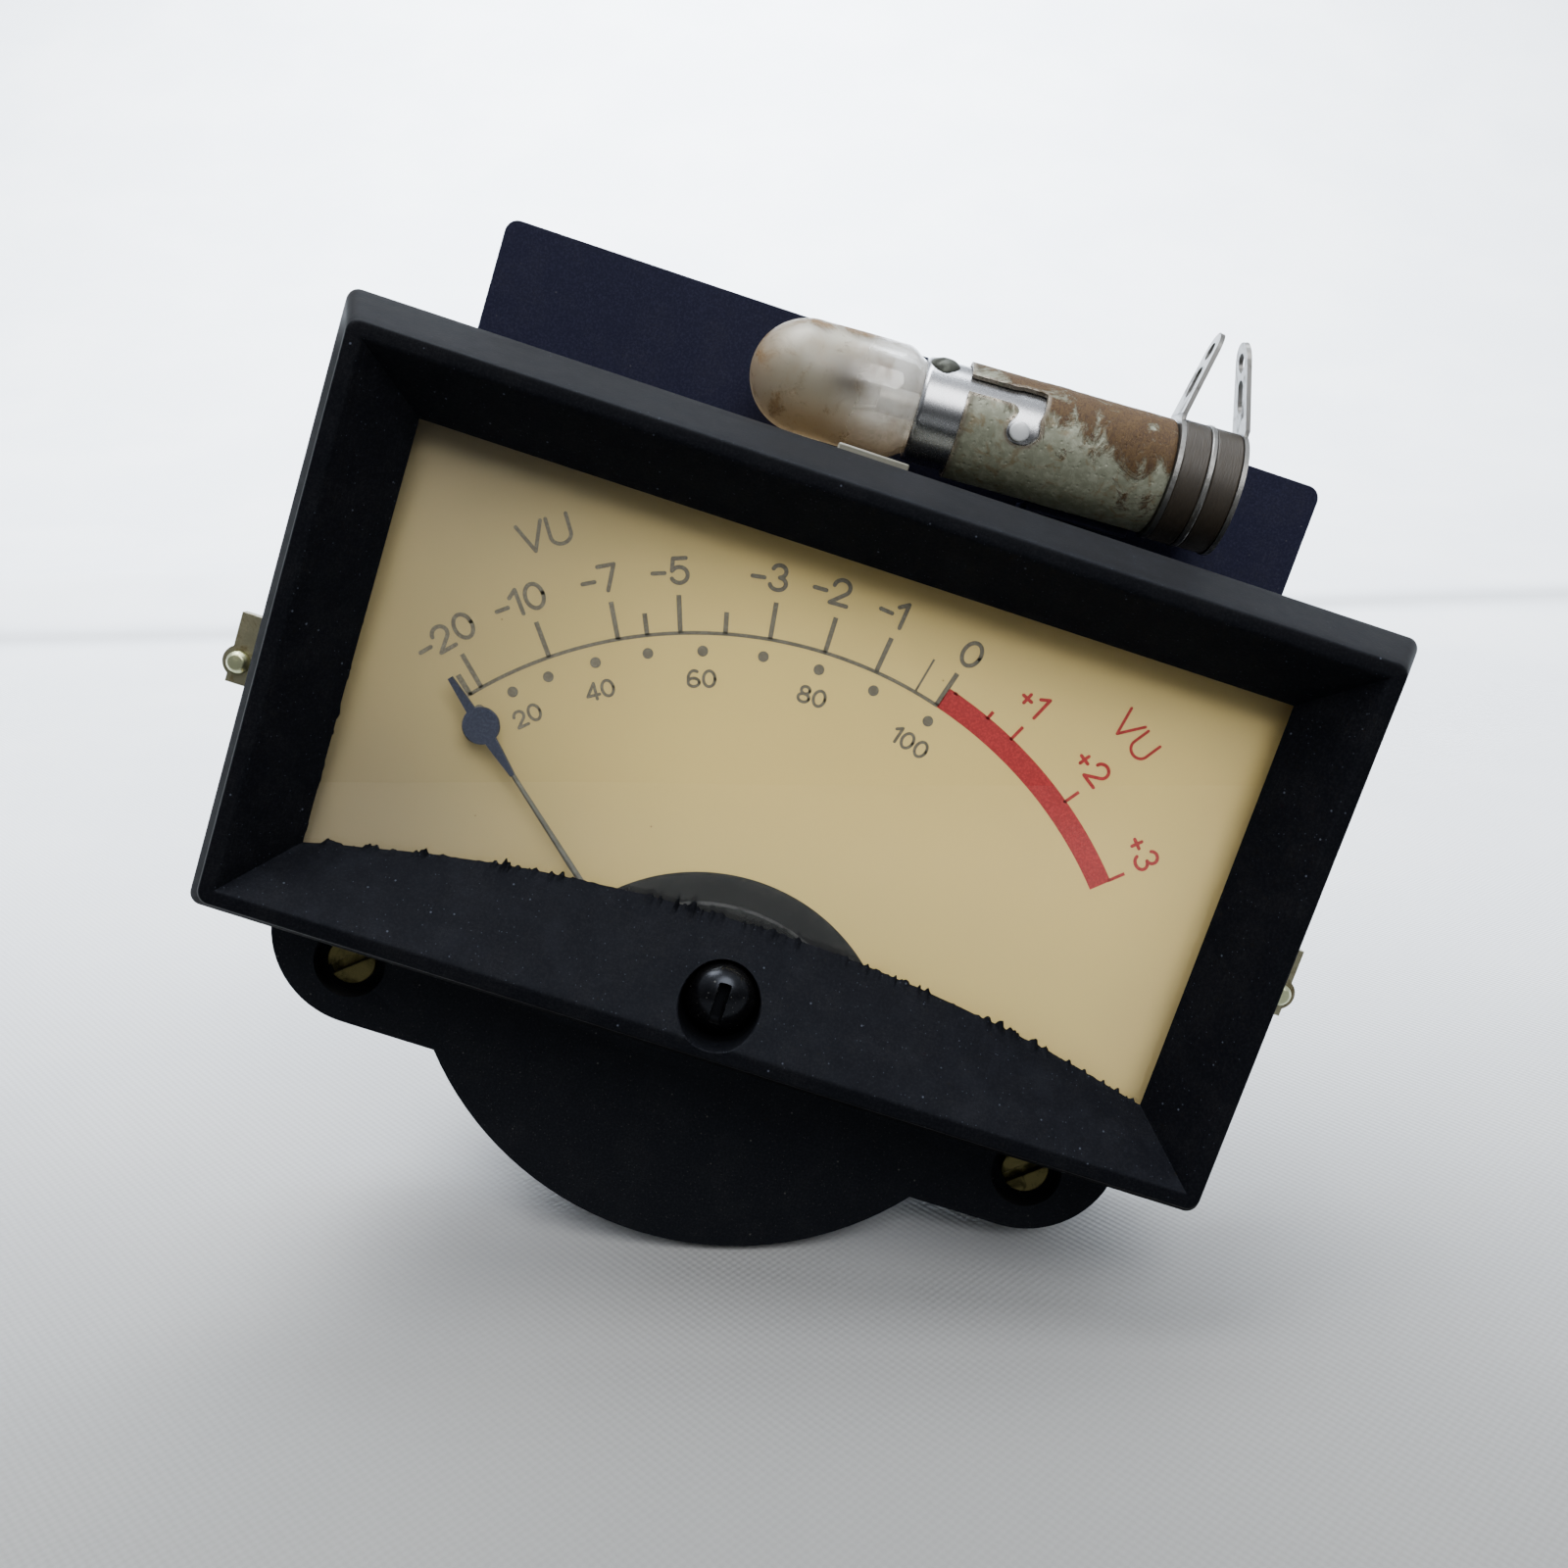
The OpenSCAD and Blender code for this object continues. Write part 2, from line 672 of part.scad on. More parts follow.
module rear_bridge() {
    color("#b4b7ba") at_pivot() {
        bridge(bridge_back_y, core_back + carrier_t, bridge_back_y + eps);
        bar(-5.6, 0, 0.4, spring_back_y - 0.1, bridge_back_y + eps);
    }
}

module cheese_screw(head_r, head_t, r, length) {
    difference() {
        union() {
            slab(-head_t, 0) circle(r = head_r);
            slab(-eps, length) circle(r = r);
        }
        translate([-head_r - 1, -head_t - 1, -0.2 * head_r]) cube([2 * head_r + 2, 1 + head_t / 2, 0.4 * head_r]);
    }
}

module bridge_screws() {
    length = core_len / 2 - 0.5;
    color("#a9946a")
    at_pivot() for (s = [-1, 1]) {
        translate([s * foot_x, bridge_y, 0])
            cheese_screw(1.5, 0.5, small_screw_r, core_front - bridge_y + length);
        translate([s * foot_x, bridge_back_y + bridge_t, 0]) mirror([0, 1, 0])
            cheese_screw(1.5, 0.9, small_screw_r, bridge_back_y + bridge_t - core_back + length);
    }
}

// threaded jewel cups in the two bridges
module jewel_screws() {
    tip0 = bridge_y + 0.35;
    tip1 = bridge_back_y + bridge_t - 0.35;
    r = jewel_screw_r;
    color("#b6453c")
    at_pivot() {
        turned_y(0, 0, [[0, arm_y - 0.1], [r, arm_y - 0.1], [r, bridge_y + bridge_t], [0.75, bridge_y + bridge_t],
            [staff_r + 0.12, tip0 + 0.8], [0, tip0 - slip]]);
        turned_y(0, 0, [[0, tip1 + slip], [staff_r + 0.12, tip1 - 0.8], [0.75, bridge_back_y], [r, bridge_back_y],
            [r, bridge_back_y + bridge_t + 0.6], [0, bridge_back_y + bridge_t + 0.6]]);
    }
}

// plate that joins the yoke to the two posts of the rear case
module movement_carrier() {
    color("#a7a9ac")
    at_pivot() difference() {
        union() {
            slab(core_back, core_back + carrier_t) {
                circle(r = yoke_r);
                square([2 * boss_x, 2 * boss_r], center = true);
                for (s = [-1, 1]) translate([s * boss_x, 0]) circle(r = boss_r);
                translate([-6, 0]) square([12, 23]);
            }
        }
        bar(0, 0, yoke_in_r, core_back - 1, core_back + carrier_t + 1);
        for (s = [-1, 1]) {
            bar(s * foot_x, 0, small_screw_r + slip, core_back - 1, core_back + 3);
            bar(s * boss_x, 0, 1.05, core_back - 1, core_back + 3);
        }
    }
}

module carrier_screws() {
    color("#a9946a")
    at_pivot() for (s = [-1, 1]) translate([s * boss_x, core_back, 0]) cheese_screw(1.9, 1.3, 1, 5.5);
}

// ---------- rear ----------

module rear_case() {
    edge = 1.2;
    post_front = core_back + carrier_t;
    color("#1b1c20")
    difference() {
        union() {
            difference() {
                turned_y(0, -disc_drop, [[0, flange_t], [disc_r - 0.4, flange_t], [disc_r, flange_t + 0.4],
                    [disc_r, flange_t + rim_flange_t - 0.4], [disc_r - 0.4, flange_t + rim_flange_t],
                    [barrel_r, flange_t + rim_flange_t], [barrel_r, barrel_back - edge],
                    [barrel_r - edge, barrel_back], [0, barrel_back]]);
                bar(0, -disc_drop, barrel_in_r, flange_t - 1, wall_inner);
            }
            for (s = [-1, 1]) bar(s * boss_x, pivot_z, boss_r, post_front, wall_inner + eps);
            for (s = [-1, 1]) bar(s * stud_spacing / 2, stud_z, 4.6, barrel_back - eps, barrel_back + 1);
        }
        for (s = [-1, 1]) {
            bar(s * boss_x, pivot_z, 1 + thread, post_front - 1, post_front + 5);
            bar(s * stud_spacing / 2, stud_z, shank_r + slip, barrel_back - 6, barrel_back + 3);
        }
        case_screw_places() bar(0, 0, 1.1, flange_t - 1, flange_t + 4);
    }
}

module case_screws() {
    color("#8f8a76")
    case_screw_places() translate([0, flange_t + rim_flange_t, 0]) mirror([0, 1, 0])
        cheese_screw(1.6, 1, 0.8, rim_flange_t + 2);
}

module plate_outline() {
    half = plate_w / 2;
    low = -ear_bottom;
    r = plate_corner_r;
    difference() {
        union() {
            translate([-half, low + ear_r]) square([plate_w, plate_top - r - low - ear_r]);
            translate([-half + r, low + ear_r]) square([plate_w - 2 * r, plate_top - low - ear_r]);
            for (s = [-1, 1]) translate([s * (half - r), plate_top - r]) circle(r = r);
            translate([-half + ear_r, low]) square([plate_w - 2 * ear_r, 2 * ear_r]);
            for (s = [-1, 1]) translate([s * (half - ear_r), low + ear_r]) circle(r = ear_r);
        }
        // notch that slides over the round case
        translate([0, -disc_drop]) circle(r = barrel_r + gap, $fn = 128);
        translate([-barrel_r - gap, -60 - disc_drop]) square([2 * (barrel_r + gap), 60]);
    }
}

module back_plate() {
    color("#232742")
    difference() {
        slab(plate_front, plate_back) plate_outline();
        for (s = [-1, 1]) {
            bar(s * ear_x, ear_z, screw_hole_r, plate_front - 1, plate_back + 1);
            for (z = clamp_rivet_zs())
                bar(s * clamp_rivet_x, z, clamp_rivet_r + thread, plate_front - 1, plate_back + 1);
        }
        lamp_place() for (x = rivet_xs())
            bar(x, rivet_drop, rivet_r + thread, plate_front - lamp_y - 1, plate_back - lamp_y + 1);
    }
}

module pillars() {
    color("#b3a468")
    for (s = [-1, 1]) difference() {
        bar(s * ear_x, ear_z, 3.4, flange_t, plate_front);
        bar(s * ear_x, ear_z, screw_hole_r, flange_t - 1, plate_front + 1);
    }
}

module ear_screws() {
    head_t = 1.3;
    color("#a8945a")
    for (s = [-1, 1]) translate([s * ear_x, counterbore_depth, ear_z]) rotate([0, -41, 0])
        cheese_screw(ear_head_r, head_t, screw_r, plate_back + 4 - counterbore_depth);
}

module ear_nuts() {
    color("#b3a468")
    for (s = [-1, 1]) translate([s * ear_x, 0, ear_z]) difference() {
        hex(5.5, plate_back, plate_back + 2.4);
        bar(0, 0, screw_r + thread, plate_back - 1, plate_back + 4);
    }
}

// ---------- terminals ----------

module at_studs() {
    for (s = [-1, 1]) translate([s * stud_spacing / 2, 0, stud_z]) children();
}

boss_back = barrel_back + 1;

module terminal_studs() {
    tip = boss_back + stud_out;
    step = boss_back + 0.8 + stud_nut_t + 0.1;
    color("#bfa255")
    at_studs() {
        turned_y(0, 0, [[0, wall_inner - 0.6], [shank_r, wall_inner - 0.6], [shank_r, step], [stud_r, step],
            [stud_r, tip - 0.5], [stud_r - 0.5, tip], [0, tip]]);
        hex(6.6, wall_inner - 2.1, wall_inner - 0.5);
    }
}

module terminal_washers() {
    color("#c9c6b6")
    at_studs() difference() {
        bar(0, 0, 4.2, boss_back, boss_back + 0.8);
        bar(0, 0, shank_r + slip, boss_back - 1, boss_back + 2);
    }
}

module terminal_nuts() {
    y = boss_back + 0.8;
    color("#bfa255")
    at_studs() difference() {
        hex(7, y, y + stud_nut_t);
        bar(0, 0, shank_r + thread, y - 1, y + 4);
    }
}

// tags under the studs' inner heads
module solder_tags() {
    color("#c9c6b6")
    at_studs() difference() {
        slab(wall_inner - 0.5, wall_inner) {
            circle(r = 3.6);
            translate([-1.2, 0]) square([2.4, 7]);
        }
        bar(0, 0, shank_r + thread, wall_inner - 2, wall_inner + 1);
        bar(0, 5.6, 0.5, wall_inner - 2, wall_inner + 1);
    }
}

rect_y = core_back - 5;
rect_z = pivot_z + yoke_r + 4;
rect_half = 5.6;

// four-cell rectifier on the upper part of the carrier
module rectifier() {
    color("#6a3b23") {
        for (i = [0:3]) translate([-5 + i * 2.6, rect_y, rect_z]) cube([2.2, 5, 6]);
        translate([-rect_half, rect_y + 2, rect_z + 2]) cube([2 * rect_half, 2, 2]);
    }
}

// insulated wire swept along a smooth curve through four guide points
module lead(a, b, c, d, r) {
    steps = 18;
    sides = 8;
    function at(t) = pow(1 - t, 3) * a + 3 * pow(1 - t, 2) * t * b + 3 * (1 - t) * t * t * c + pow(t, 3) * d;
    function along(t) = let (v = pow(1 - t, 2) * (b - a) + 2 * (1 - t) * t * (c - b) + t * t * (d - c)) v / norm(v);
    function ring(t) = let (w = along(t), u = cross(w, [1, 0.2, -0.1]), p = u / norm(u), q = cross(w, p))
        [for (k = [0:sides - 1]) at(t) + r * (cos(360 * k / sides) * p + sin(360 * k / sides) * q)];
    polyhedron([for (i = [0:steps], v = ring(i / steps)) v],
        concat([[for (k = [0:sides - 1]) k]], [[for (k = [sides - 1:-1:0]) steps * sides + k]],
            [for (i = [0:steps - 1], k = [0:sides - 1])
                let (m = i * sides + k, n = i * sides + (k + 1) % sides) [m, m + sides, n + sides, n]]));
}

module lead_wires() {
    x = stud_spacing / 2;
    y = wall_inner - 0.8;
    z = stud_z + 5.6;
    for (s = [-1, 1]) color(s > 0 ? "#a02828" : "#202020")
        lead([s * x, y, z], [s * x, y - 5, z + 1.5], [s * (rect_half + 4.5), rect_y + 3, rect_z + 3],
            [s * (rect_half + 0.1), rect_y + 3, rect_z + 3], 0.45);
}

// ---------- lamp ----------

module lamp_bulb() {
    neck = base_x0 + 0.1;
    tip = -23.5;
    r = bulb_r;
    t = 0.45;
    color([0.85, 0.8, 0.7, 0.6])
    lamp_place() turned_x(concat(
        [for (a = [0:15:90]) [r * sin(a), tip + r - r * cos(a)]],
        [[r, neck - 2.2], [r - 0.25, neck - 1.1], [r - 0.9, neck], [3.6, neck + 0.6], [3.6, neck + 2.6],
        [3.6 - t, neck + 2.6], [3.6 - t, neck + 0.4], [r - 0.9 - t, neck - 0.2], [r - t, neck - 2.2]],
        [for (a = [90:-15:0]) [(r - t) * sin(a), tip + r - (r - t) * cos(a)]]));
}

// glass stem, two support wires and the filament
module lamp_filament() {
    stem = base_x0 - 3.2;
    top = base_x0 - 7;
    neck_x = base_x0 + 1.6;
    neck_r = 3.1;
    lean = 14;
    run = (stem + 1 - top) / cos(lean);
    color("#8a8d90")
    lamp_place() {
        turned_x([[0, stem], [1.2, stem], [1.2, neck_x], [neck_r, neck_x], [neck_r, neck_x + 1], [0, neck_x + 1]]);
        for (s = [-1, 1]) translate([stem + 1, 0, 0.6 * s]) rotate([0, s * lean - 90, 0])
            cylinder(r = 0.2, h = run, $fn = 16);
        translate([top + 0.15, 0, -2.3]) cylinder(r = 0.14, h = 4.6, $fn = 16);
    }
}

module lamp_base() {
    x1 = base_x0 + base_len;
    color("#c2c5c8")
    lamp_place() {
        turned_x([[base_r - 0.35, base_x0], [base_r - 0.1, base_x0 - 0.1], [base_r, base_x0 + 0.25],
            [base_r, x1 - 0.6], [base_r - 0.5, x1], [base_r - 0.9, x1], [base_r - 0.35, x1 - 0.7]]);
        for (s = [-1, 1]) rotate([s * 90, 0, 0])
            translate([pin_x, 0, base_r - 0.3]) cylinder(r = pin_r, h = shell_wall + 0.55);
    }
}

module lamp_insulator() {
    x1 = base_x0 + base_len;
    color("#1a1520")
    lamp_place() turned_x([[0, x1 - 2.6], [base_r - 0.38, x1 - 2.6], [base_r - 0.38, x1 - 0.7],
        [base_r - 0.93, x1 + eps], [2, contact_x - 0.7], [0, contact_x - 0.7]]);
}

module lamp_contact() {
    color("#b9bcc0")
    lamp_place() turned_x([[0, contact_x - 0.7], [1.6, contact_x - 0.7], [1.3, contact_x - 0.2],
        [0.6, contact_x], [0, contact_x]]);
}

// tube with two bayonet slots
module socket_shell() {
    cut_in = shell_in_r - 0.5;
    cut_out = shell_r + 1;
    color("#8c7a5e")
    lamp_place() difference() {
        turned_x([[shell_in_r, shell_x0], [shell_r, shell_x0], [shell_r, shell_x1 - 0.3], [shell_r - 0.3, shell_x1],
            [bush_r, shell_x1], [bush_r, shell_x1 - lug_t], [shell_in_r, shell_x1 - lug_t]]);
        for (turn = [0, 180]) rotate([turn, 0, 0]) {
            // straight leg from the mouth
            rotate([-slot_up, 0, 0]) translate([shell_x0 - 1, -cut_out, -leg_half])
                cube([slot_far - shell_x0 + 1, cut_out - cut_in, 2 * leg_half]);
            // leg round the shell
            translate([slot_far - 2 * leg_half, 0, 0]) rotate([90, 0, 90]) rotate([0, 0, 180 - slot_up])
                rotate_extrude(angle = slot_up) translate([cut_in, 0]) square([cut_out - cut_in, 2 * leg_half]);
            // pocket that hooks back round the pin
            rotate([90, 0, 0]) hull() for (x = [pin_x, slot_far - slot_half])
                translate([x, 0, cut_in]) cylinder(r = slot_half, h = cut_out - cut_in);
        }
    }
}

// ring with a long pierced tab, which leans by the given angle once it clears the washers
module lug(x, inner_r, lean) {
    ring_r = washer_r + 0.1;
    half = 2;
    root = washer_r + 0.25;
    end = 5.7;      // centre of the rounded tip, from the root
    turned_x([[inner_r, x], [ring_r, x], [ring_r, x + lug_t], [inner_r, x + lug_t]]);
    translate([x, -half, root - 1]) cube([lug_t, 2 * half, 1.05]);
    translate([x + lug_t / 2, 0, root]) rotate([0, lean, 0]) translate([-lug_t / 2, 0, 0]) rotate([90, 0, 90])
        linear_extrude(height = lug_t) difference() {
            union() {
                polygon([[-half, -0.1], [half, -0.1], [half - 0.3, end], [0.3 - half, end]]);
                translate([0, end]) circle(r = half - 0.3);
            }
            translate([0, end]) circle(r = 0.8);
            for (z = [2.2, 3.6]) translate([0, z]) circle(r = 0.7);
            translate([-0.7, 2.2]) square([1.4, 1.4]);
        }
}

module shell_lug() {
    color("#c3c4c0") lamp_place() lug(lug1_x, bush_r, 10.7);
}

module contact_lug() {
    color("#c3c4c0") lamp_place() lug(lug2_x, bush_r, -16.2);
}

module fibre_washers() {
    color("#43331f")
    lamp_place() for (x = [washer1_x, washer2_x])
        turned_x([[bush_r, x], [washer_r, x], [washer_r, x + washer_t], [bush_r, x + washer_t]]);
}

module socket_ring() {
    color("#b5b6b2")
    lamp_place() turned_x([[bush_r, ring_x], [washer_r + 0.1, ring_x], [washer_r + 0.1, ring_x + ring_t],
        [bush_r, ring_x + ring_t]]);
}

// headed tube that clamps the stack and guides the plunger
module socket_bush() {
    head = shell_x1 - lug_t;
    color("#5a4630")
    lamp_place() turned_x([[bush_in_r, head - 0.4], [2.8, head - 0.4], [2.8, head], [bush_r, head],
        [bush_r, stack_end], [2.5, stack_end], [2.3, stack_end + 0.5], [bush_in_r, stack_end + 0.5]]);
}

module contact_plunger() {
    x = contact_x + slip;
    color("#b99a55")
    lamp_place() turned_x([[0, x], [3, x], [3, x + 0.9], [plunger_r, x + 0.9], [plunger_r, stack_end + 1],
        [0, stack_end + 1]]);
}

// helical spring between plunger and bush: eight rings a turn, six sides
module contact_spring() {
    x0 = contact_x + slip + 0.9;
    x1 = shell_x1 - lug_t - 0.4;
    wire_r = 0.22;
    mean_r = 2.1;
    turns = 4;
    rings = 8;
    sides = 6;
    n = turns * rings;
    run = x1 - x0 - 2 * wire_r - 0.1;
    function spot(i, k) = let (a = 360 * i / rings, b = 360 * k / sides, r = mean_r + wire_r * cos(b))
        [x0 + wire_r + 0.05 + run * i / n + wire_r * sin(b), r * cos(a), r * sin(a)];
    gaps = [for (i = [0:n - rings]) norm(spot(i + rings, 0) - spot(i, 0)) - 2 * wire_r];
    echo(least_gap_of_contact_spring = min(gaps));
    color("#9fa3a8")
    lamp_place() polyhedron(
        [for (i = [0:n], k = [0:sides - 1]) spot(i, k)],
        concat([[for (k = [0:sides - 1]) k]], [[for (k = [sides - 1:-1:0]) n * sides + k]],
            [for (i = [0:n - 1], k = [0:sides - 1], half = [0, 1])
                let (a = i * sides + k, b = i * sides + (k + 1) % sides)
                half == 0 ? [a, a + sides, b] : [b, a + sides, b + sides]]));
}

rivet_r = 1;
rivet_drop = -9.5;
function rivet_xs() = [4.4, 9.6];
bracket_x0 = 2.5;
bracket_x1 = 11.5;
bracket_t = 0.7;

// saddle under the socket with a leg riveted to the back plate
module lamp_bracket() {
    plate_y = plate_front - lamp_y;
    r = shell_r;
    low = -r - bracket_t;
    color("#8f9195")
    lamp_place() difference() {
        union() {
            translate([bracket_x0, 0, 0]) rotate([90, 0, 90]) linear_extrude(height = bracket_x1 - bracket_x0) {
                difference() {
                    circle(r = r + bracket_t);
                    circle(r = r);
                    translate([-20, -20]) square([20, 40]);
                    translate([-1, 0.45 * r]) square([20, 20]);
                }
                translate([0, low]) square([plate_y, bracket_t]);
                translate([plate_y - bracket_t, rivet_drop - 2.6])
                    square([bracket_t, low + bracket_t - rivet_drop + 2.6]);
            }
        }
        translate([bracket_x0 - 1, 0, 0]) rotate([0, 90, 0]) cylinder(r = r, h = bracket_x1 - bracket_x0 + 2);
        for (x = rivet_xs()) bar(x, rivet_drop, rivet_r + thread, plate_y - 3, plate_y + 1);
    }
}

module rivet(y0, y1, r, head_r) {
    bar(0, 0, r, y0 - eps, y1 + eps);
    turned_y(0, 0, [[0, y0 - 0.8], [head_r * 0.6, y0 - 0.65], [head_r, y0 - 0.1], [head_r, y0], [0, y0]]);
    turned_y(0, 0, [[0, y1], [head_r, y1], [head_r, y1 + 0.1], [head_r * 0.6, y1 + 0.65], [0, y1 + 0.8]]);
}

module bracket_rivets() {
    plate_y = plate_front - lamp_y;
    color("#a9acb0")
    lamp_place() for (x = rivet_xs()) translate([x, 0, rivet_drop])
        rivet(plate_y - bracket_t, plate_y + plate_t, rivet_r, 1.9);
}

// ---------- side clamps ----------

clamp_rivet_r = 0.9;
function clamp_rivet_zs() = [clamp_z - 1.7, clamp_z + 1.7];

// bent strip: foot on the back plate, ear facing the panel
module clamp_brackets() {
    bend_x = plate_w / 2 + 0.4;
    color("#a39a7c")
    sides() difference() {
        union() {
            translate([clamp_foot_x, plate_front - clamp_t, clamp_z - clamp_h / 2])
                cube([bend_x + clamp_t - clamp_foot_x, clamp_t, clamp_h]);
            translate([bend_x, clamp_ear_y, clamp_z - clamp_h / 2])
                cube([clamp_t, plate_front - clamp_ear_y, clamp_h]);
            translate([bend_x, clamp_ear_y, clamp_z - clamp_h / 2]) cube([clamp_reach - bend_x, clamp_t, clamp_h]);
            // threaded collar drawn out of the ear
            bar(clamp_screw_x, clamp_screw_z, clamp_collar_r, clamp_ear_y, clamp_ear_y + clamp_t + 1.2);
        }
        bar(clamp_screw_x, clamp_screw_z, clamp_screw_r + thread, clamp_ear_y - 1, clamp_ear_y + clamp_t + 3);
        for (z = clamp_rivet_zs()) bar(clamp_rivet_x, z, clamp_rivet_r + thread, plate_front - 3, plate_front + 1);
    }
}

module clamp_rivets() {
    color("#a9acb0")
    sides() for (z = clamp_rivet_zs()) translate([clamp_rivet_x, 0, z])
        rivet(plate_front - clamp_t, plate_back, clamp_rivet_r, 1.5);
}

clamp_tail = 16;

module clamp_screws() {
    r = clamp_screw_r;
    tip = clamp_ear_y - 0.7;
    tail = tip + clamp_tail;
    color("#aeb07c")
    sides() translate([clamp_screw_x, 0, clamp_screw_z]) difference() {
        turned_y(0, 0, [[0, tip - 0.2], [r - 0.3, tip - 0.2], [r, tip + 0.2], [r, tail],
            [clamp_collar_r, tail], [clamp_collar_r, tail + 1.1], [r, tail + 1.4], [0, tail + 1.4]]);
        translate([-3, tail + 0.7, -0.25]) cube([6, 2, 0.5]);
    }
}

bezel();
window();
front_case();
dial();
movement_cap();
light_window();
zero_screw();
zero_washer();
zero_arm();
pointer();
pointer_tip();
pointer_hub();
balance_weights();
coil_former();
coil_winding();
pivot_staffs();
hairspring_front();
hairspring_rear();
core_magnet();
core_supports();
yoke_ring();
front_bridge();
rear_bridge();
bridge_screws();
jewel_screws();
movement_carrier();
carrier_screws();
rear_case();
case_screws();
back_plate();
pillars();
ear_screws();
ear_nuts();
terminal_studs();
terminal_washers();
terminal_nuts();
solder_tags();
rectifier();
lead_wires();
lamp_bulb();
lamp_filament();
lamp_base();
lamp_insulator();
lamp_contact();
socket_shell();
shell_lug();
contact_lug();
fibre_washers();
socket_ring();
socket_bush();
contact_plunger();
contact_spring();
lamp_bracket();
bracket_rivets();
clamp_brackets();
clamp_rivets();
clamp_screws();
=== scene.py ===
"""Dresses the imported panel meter: shapes, finishes, stage and camera. Lengths in the code are millimetres."""

import json
import math

import bmesh
import bpy
import numpy as np
from bpy.props import FloatProperty, FloatVectorProperty, PointerProperty
from mathutils import Matrix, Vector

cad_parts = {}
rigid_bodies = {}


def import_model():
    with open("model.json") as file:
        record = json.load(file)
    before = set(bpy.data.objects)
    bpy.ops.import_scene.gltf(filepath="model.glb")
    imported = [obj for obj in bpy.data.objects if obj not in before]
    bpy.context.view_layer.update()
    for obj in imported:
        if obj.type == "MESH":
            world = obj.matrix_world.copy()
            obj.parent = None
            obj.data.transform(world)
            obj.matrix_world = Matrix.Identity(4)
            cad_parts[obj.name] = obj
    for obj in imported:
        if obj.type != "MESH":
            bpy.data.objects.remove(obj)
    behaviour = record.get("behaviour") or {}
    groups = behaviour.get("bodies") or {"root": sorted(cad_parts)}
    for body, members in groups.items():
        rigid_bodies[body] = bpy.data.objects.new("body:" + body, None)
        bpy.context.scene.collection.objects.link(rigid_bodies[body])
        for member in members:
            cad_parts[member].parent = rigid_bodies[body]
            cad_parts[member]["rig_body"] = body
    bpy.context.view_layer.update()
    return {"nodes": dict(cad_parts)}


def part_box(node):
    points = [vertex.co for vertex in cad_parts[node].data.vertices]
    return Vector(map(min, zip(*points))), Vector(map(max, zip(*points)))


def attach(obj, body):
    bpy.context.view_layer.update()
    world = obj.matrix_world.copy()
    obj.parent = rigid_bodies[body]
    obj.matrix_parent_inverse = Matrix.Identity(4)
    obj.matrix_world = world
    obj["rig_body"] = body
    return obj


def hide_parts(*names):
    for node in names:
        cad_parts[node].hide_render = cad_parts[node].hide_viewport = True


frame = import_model()

bl_info = {
    "name": "Panel meter pieces",
    "version": (1, 0, 0),
    "blender": (4, 5, 0),
    "location": "View3D > Sidebar > Meter",
    "description": "Builds the detailed pieces of an illuminated panel meter",
    "category": "Add Mesh",
}

MM = 0.001
TAU = 2 * math.pi


def low(node, axis):
    """Lowest coordinate of a CAD node along an axis, in millimetres."""
    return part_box(node)[0][axis] / MM


def high(node, axis):
    """Highest coordinate of a CAD node along an axis, in millimetres."""
    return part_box(node)[1][axis] / MM


# ---------- sizes and colours a user may change ----------


def length(label, words, value):
    """A length property; the value is in millimetres."""
    return FloatProperty(name=label, description=words, default=value * MM, unit="LENGTH", precision=5)


def colour(label, words, value):
    """A colour property with red, green and blue from 0 to 1."""
    return FloatVectorProperty(name=label, description=words, default=value, size=3, min=0, max=1,
                               subtype="COLOR")


class MeterSizes(bpy.types.PropertyGroup):
    """Sizes of the meter's pieces."""

    bezel_width: length("Bezel width", "Width of the bezel at its back edge", 2 * high("bezel", 0))
    bezel_height: length("Bezel height", "Height of the bezel at its back edge", 2 * high("bezel", 2))
    bezel_front: length("Front rim", "Place of the front rim along Y", low("bezel", 1))
    bezel_depth: length("Bezel depth", "From the front rim to the back edge of the bezel", 6.0)
    flare: length("Wall flare", "How far each outer wall spreads towards the back", 2.45)
    rim: length("Rim width", "Width of the flat front rim", 1.2)
    slope: length("Slope width", "Width of the inner slopes seen from the front", 4.4)
    slope_depth: length("Slope depth", "From the front rim to the window", 5.4)
    arch_rise: length("Arch rise", "Rise of the arched sill at its middle", 4.75)
    corner: length("Corner radius", "Radius of the bezel's upright corners", 1.0)
    crumbs: length("Ragged edge", "Height of the ragged paint along the sill", 0.42)
    recess: length("Recess radius", "Radius of the recess round the adjuster", 3.3)
    zero_drop: length("Adjuster drop", "Distance of the adjuster below the middle of the dial", 19.3)
    pivot_drop: length("Pivot drop", "Distance of the pointer's pivot below the middle of the dial", 26.4)
    scale_radius: length("Scale radius", "Radius of the scale's arc", 36.35)
    line: length("Line width", "Width of the scale's lines", 0.31)
    label_height: length("Label height", "Height of the outer numbers", 2.2)
    number_height: length("Number height", "Height of the inner numbers", 1.42)
    print_thickness: length("Print thickness", "Thickness of the printed marks", 0.02)
    pointer_length: length("Pointer length", "From the pivot to the tip", 38.3)
    pointer_disc: length("Pointer disc", "Radius of the disc on the pointer", 1.55)
    bulb_radius: length("Bulb radius", "Radius of the lamp's glass", 4.85)
    base_radius: length("Lamp base radius", "Radius of the lamp's metal base", 4.45)


